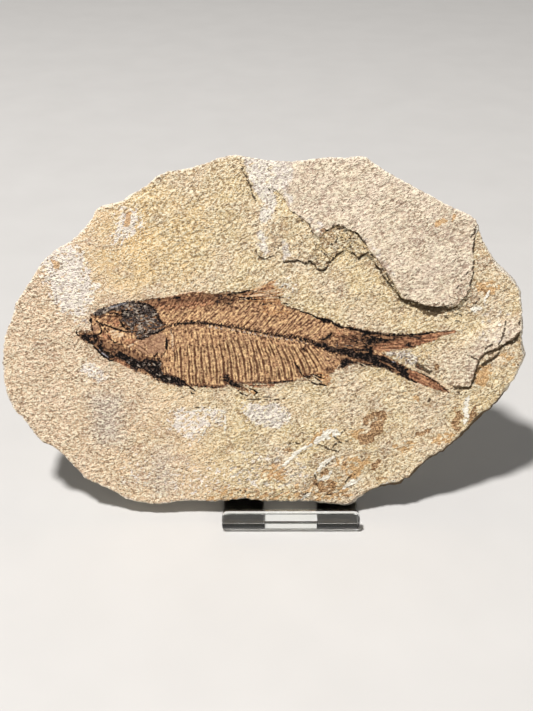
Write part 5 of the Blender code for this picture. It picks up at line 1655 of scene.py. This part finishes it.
def ground_colour(nodes, flat, patchy, speck):
    """The stone's colour from place to place, before its grain."""
    cloud = nodes.noise(flat, 11, 3, 0.6)
    colour = nodes.tones(nodes.noise(flat, 26, 2), 0.38, 0.62, "bed left", "bed right")
    colour = nodes.blend(nodes.ramp(patchy, 0.45, 0.7), colour, "bed patchy")
    colour = nodes.blend(nodes.times(nodes.mask("level"), 0.8), colour, "level ground")
    gold = nodes.times(nodes.mask("gold"), nodes.ramp(cloud, 0.3, 0.6))
    colour = nodes.blend(gold, colour, "gold ground")
    colour = nodes.blend(nodes.mask("plate"), colour, "plate ground")
    tint = nodes.tones(cloud, 0.4, 0.6, "cloud warm", "cloud cool")
    tint = nodes.blend(nodes.ramp(cloud, 0.48, 0.34), tint, "cloud dim")
    colour = nodes.blend(1.0, colour, tint, mode="MULTIPLY")
    pale = nodes.ramp(nodes.scaled(speck, 1.2, nodes.mask("pale")), 0.85, 1.4)
    colour = nodes.blend(nodes.times(pale, 0.9), colour, "pale ground")
    colour = nodes.blend(nodes.mask("lilac"), colour, "lilac ground")
    colour = nodes.blend(nodes.mask("grey"), colour, "grey ground")
    # Pale broken stone, partly a painted highlight on the chipped rim and sides.
    return nodes.blend(nodes.mask("broken"), colour, "broken stone and edge light")


def grain_shade_and_highlight(nodes, colour, grain, swells, vigour, flaky, gap):
    """Painted shade in the pits, creases and hollows and painted highlights on the crests of the
    relief, over a colour.
    """
    deep = nodes.scaled(nodes.mask("plate"), -0.1, nodes.scaled(vigour, 0.4, 0.46))
    hollow = nodes.times(nodes.mask("plate"), nodes.ramp(swells, 0.5, 0.32))
    for cover, share, tone in (
        (nodes.ramp(grain, 0.45, 0.0), deep, "pit shade"),
        (flaky, nodes.times(gap, 0.62), "scale crease shade"),
        (hollow, 0.45, "plate hollow shade"),
        (nodes.mask("crease"), 0.2, "grain crease shade"),
        (nodes.ramp(grain, 0.55, 1.0), 0.55, "crest highlight"),
    ):
        colour = nodes.blend(nodes.times(cover, share), colour, tone)
    return colour


def speck_shade_and_highlight(nodes, colour, speck):
    """Painted shade in the fine pits and painted highlights on the fine bumps of the speck, over a
    colour, fainter on the plate.
    """
    even = nodes.scaled(nodes.mask("plate"), -0.3, 1.0)
    colour = nodes.blend(nodes.times(nodes.ramp(speck, 0.46, 0.28), even), colour, "speck shade")
    light = nodes.times(nodes.ramp(speck, 0.53, 0.68), nodes.times(even, 0.82))
    return nodes.blend(light, colour, "speck highlight")


def marked_colour(nodes, colour, patchy, speck):
    """Stains and crusts over a colour, painted shade in the cracks and painted shadow under the
    beds' edges, and how far each of them covers it.
    """
    ochre = nodes.tones(speck, 0.36, 0.62, "ochre dark", "ochre light")
    brown = nodes.tones(speck, 0.42, 0.58, "brown dark", "brown light")
    covers = {}
    # Each mask, what frays its edge and how much, where its cover starts and is full, its share.
    for mask, fraying, swing, low, high, share, tone in (
        ("ochre", patchy, 1.2, 0.85, 1.2, 0.78, ochre),
        ("brown", speck, 0.9, 0.75, 1.05, 0.9, brown),
        ("rim", speck, 0.9, 0.8, 1.15, 0.6, "stain rim"),
        ("white", speck, 0.8, 0.8, 1.1, 1.0, "white crust"),
        # Painted shade in the cracks and hollows, and painted shadow under the edges of the beds
        # and on the steep side.
        ("dark", speck, 0.8, 0.65, 1.15, 0.9, "crack shade"),
        ("shade", speck, 0.8, 0.7, 1.0, 0.92, "shade"),
    ):
        covers[mask] = nodes.ramp(nodes.scaled(fraying, swing, nodes.mask(mask)), low, high)
        colour = nodes.blend(nodes.times(covers[mask], share), colour, tone)
    return colour, covers


def stone_material():
    nodes = Nodes("stone")
    colour, height = stone_layers(nodes)
    return nodes.finish({
        "Base Color": colour, "Roughness": 0.9, "Specular IOR Level": 0.25,
        "Normal": nodes.bump(height),
    })


def bone_colour(nodes, stone, flat, mottle, speck):
    """The film over the stone, then the bones and crusts over the film."""
    chips = nodes.noise(flat, 0.8, 1.5, 0.5)
    tone = nodes.scaled(speck, 0.8, nodes.mask("streak"))
    film = nodes.tones(nodes.noise(flat, 8, 2), 0.35, 0.65, "film dull", "film bright")
    film = nodes.blend(nodes.times(nodes.ramp(tone, 0.95, 1.2), 0.9), film, "film light")
    film = nodes.blend(nodes.times(nodes.ramp(tone, 0.9, 0.62), 0.95), film, "film dark")
    crust = nodes.tones(speck, 0.42, 0.6, "crust black", "crust grey")
    lumpy = nodes.scaled(nodes.noise(flat, 2.6, 2), 0.7, nodes.times(chips, 0.6))
    crust = nodes.blend(nodes.ramp(lumpy, 0.65, 0.78), crust, "crust pale")

    colour = stone
    grains = nodes.plus(speck, mottle)
    # Each mask, its share, where its cover starts and is full, and how much the grains fray it.
    for mask, share, low, high, swing, covering in (
        ("film", 1.0, 0.3, 0.6, 0.6, film),
        ("bead", 0.7, 0.3, 0.7, 0.9, "bead"),
        ("ridge", 0.32, 0.3, 0.7, 0.9, "ridge"),
        ("bone", 0.9, 0.3, 0.7, 0.9, nodes.tones(mottle, 0.4, 0.62, "bone light", "bone dark")),
        ("orange", 0.8, 0.3, 0.7, 0.9, nodes.tones(tone, 0.8, 1.1, "orange dark", "orange light")),
        ("rust", 0.92, 0.3, 0.7, 0.9, nodes.tones(tone, 0.72, 1.1, "rust dark", "rust light")),
        ("light", 0.85, 0.3, 0.7, 0.9, "pale bone"),
        ("dusk", 0.85, 0.3, 0.7, 0.9, nodes.tones(tone, 0.72, 1.1, "dusk dark", "dusk light")),
        ("rib", 0.85, 0.15, 0.65, 0.8, "rib"),
        ("carbon", 1.0, 0.4, 0.7, 1.5, nodes.tones(chips, 0.52, 0.66, "carbon", "carbon chip")),
        ("crust", 1.0, 0.36, 0.6, 1.0, crust),
        # Painted highlight.
        ("glint", 0.8, 0.3, 0.7, 0.9, "glint"),
    ):
        frayed = nodes.scaled(grains, 0.5 * swing, nodes.mask(mask))
        cover = nodes.ramp(frayed, low + 0.5 * swing, high + 0.5 * swing)
        colour = nodes.blend(nodes.times(cover, share), colour, covering)
    return colour


def fossil_material():
    nodes = Nodes("fossil_bone")
    stone, height = stone_layers(nodes)
    flat = nodes.place()
    mottle = nodes.noise(flat, 1.0, 3, 0.6)
    speck = nodes.noise(flat, 0.5, 2, 0.6)
    shine = nodes.math("MAXIMUM", nodes.mask("carbon"), nodes.mask("crust"))
    height = nodes.times(height, nodes.scaled(nodes.mask("film"), -0.75, 1.0))
    height = nodes.plus(height, nodes.times(mottle, 0.3))
    height = nodes.plus(height, nodes.times(speck, 0.35))
    return nodes.finish({
        "Base Color": bone_colour(nodes, stone, flat, mottle, speck),
        "Roughness": nodes.scaled(shine, -0.15, 0.85),
        "Specular IOR Level": 0.12,
        "Normal": nodes.bump(height),
    })


def floor_material():
    nodes = Nodes("floor_paint")
    colour = nodes.blend(nodes.noise(nodes.place(), 40, 2), "floor dim", "floor bright")
    return nodes.finish({"Base Color": colour, "Roughness": 0.7})


def acrylic_material():
    nodes = Nodes("clear_acrylic")
    haze = nodes.times(nodes.noise(nodes.place(), 9, 3), 0.05)
    return nodes.finish({
        "Base Color": CLEAR, "Transmission Weight": 1.0, "IOR": 1.49, "Roughness": haze
    })


# ---- Stage, in metres ----
FLOOR_REACH = 4.0
KEY_LIGHT = {"place": (-0.6, -0.6, 2.33), "size": 0.26, "power": 77, "tint": (1.0, 0.972, 0.962)}
FILL_LIGHT = {"place": (0.9, -0.9, 0.7), "size": 1.0, "power": 1.2, "tint": (0.95, 0.97, 1.0)}
LIGHT_AIM = (0, 0, 0.07)
ROOM_TINT, ROOM_STRENGTH = (1.0, 0.98, 0.96, 1), 0.2
CAMERA_PLACE = (0.0014, -0.3498, 0.2702)
CAMERA_TILT = 58.5  # degrees up from straight down
CAMERA_LENS = 50  # mm, on a sensor 36 mm across


def make_floor():
    near, far = -FLOOR_REACH, FLOOR_REACH
    mesh = bpy.data.meshes.new("floor")
    corners = [(near, near, 0), (far, near, 0), (far, far, 0), (near, far, 0)]
    mesh.from_pydata(corners, [], [(0, 1, 2, 3)])
    mesh.materials.append(floor_material())
    new_object("floor", mesh)


def add_light(name, place, size, power, tint):
    data = bpy.data.lights.new(name, "AREA")
    data.shape = "DISK"
    data.size = size
    data.energy = power
    data.color = tint
    lamp = new_object(name, data)
    lamp.location = place
    lamp.rotation_euler = (Vector(LIGHT_AIM) - Vector(place)).to_track_quat("-Z", "Y").to_euler()


def make_lights():
    world = bpy.data.worlds.new("studio")
    bpy.context.scene.world = world
    world.use_nodes = True
    background = world.node_tree.nodes["Background"]
    background.inputs["Color"].default_value = ROOM_TINT
    background.inputs["Strength"].default_value = ROOM_STRENGTH
    add_light("key", **KEY_LIGHT)
    add_light("fill", **FILL_LIGHT)
    bpy.context.scene.view_settings.view_transform = "Standard"


def make_camera():
    data = bpy.data.cameras.new("camera")
    data.lens = CAMERA_LENS
    data.clip_start = 0.01
    camera = new_object("camera", data)
    camera.location = CAMERA_PLACE
    camera.rotation_euler = (math.radians(CAMERA_TILT), 0, 0)
    bpy.context.scene.camera = camera


# ---- Assembly ----
make_floor()
make_lights()
make_camera()
slab = make_slab(stone_material())
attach(slab, "root")
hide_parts("stone_slab")
fish = make_fish(fossil_material())
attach(fish, "root")
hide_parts("fossil_fish")
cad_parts["acrylic_stand"].data.materials.clear()
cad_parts["acrylic_stand"].data.materials.append(acrylic_material())
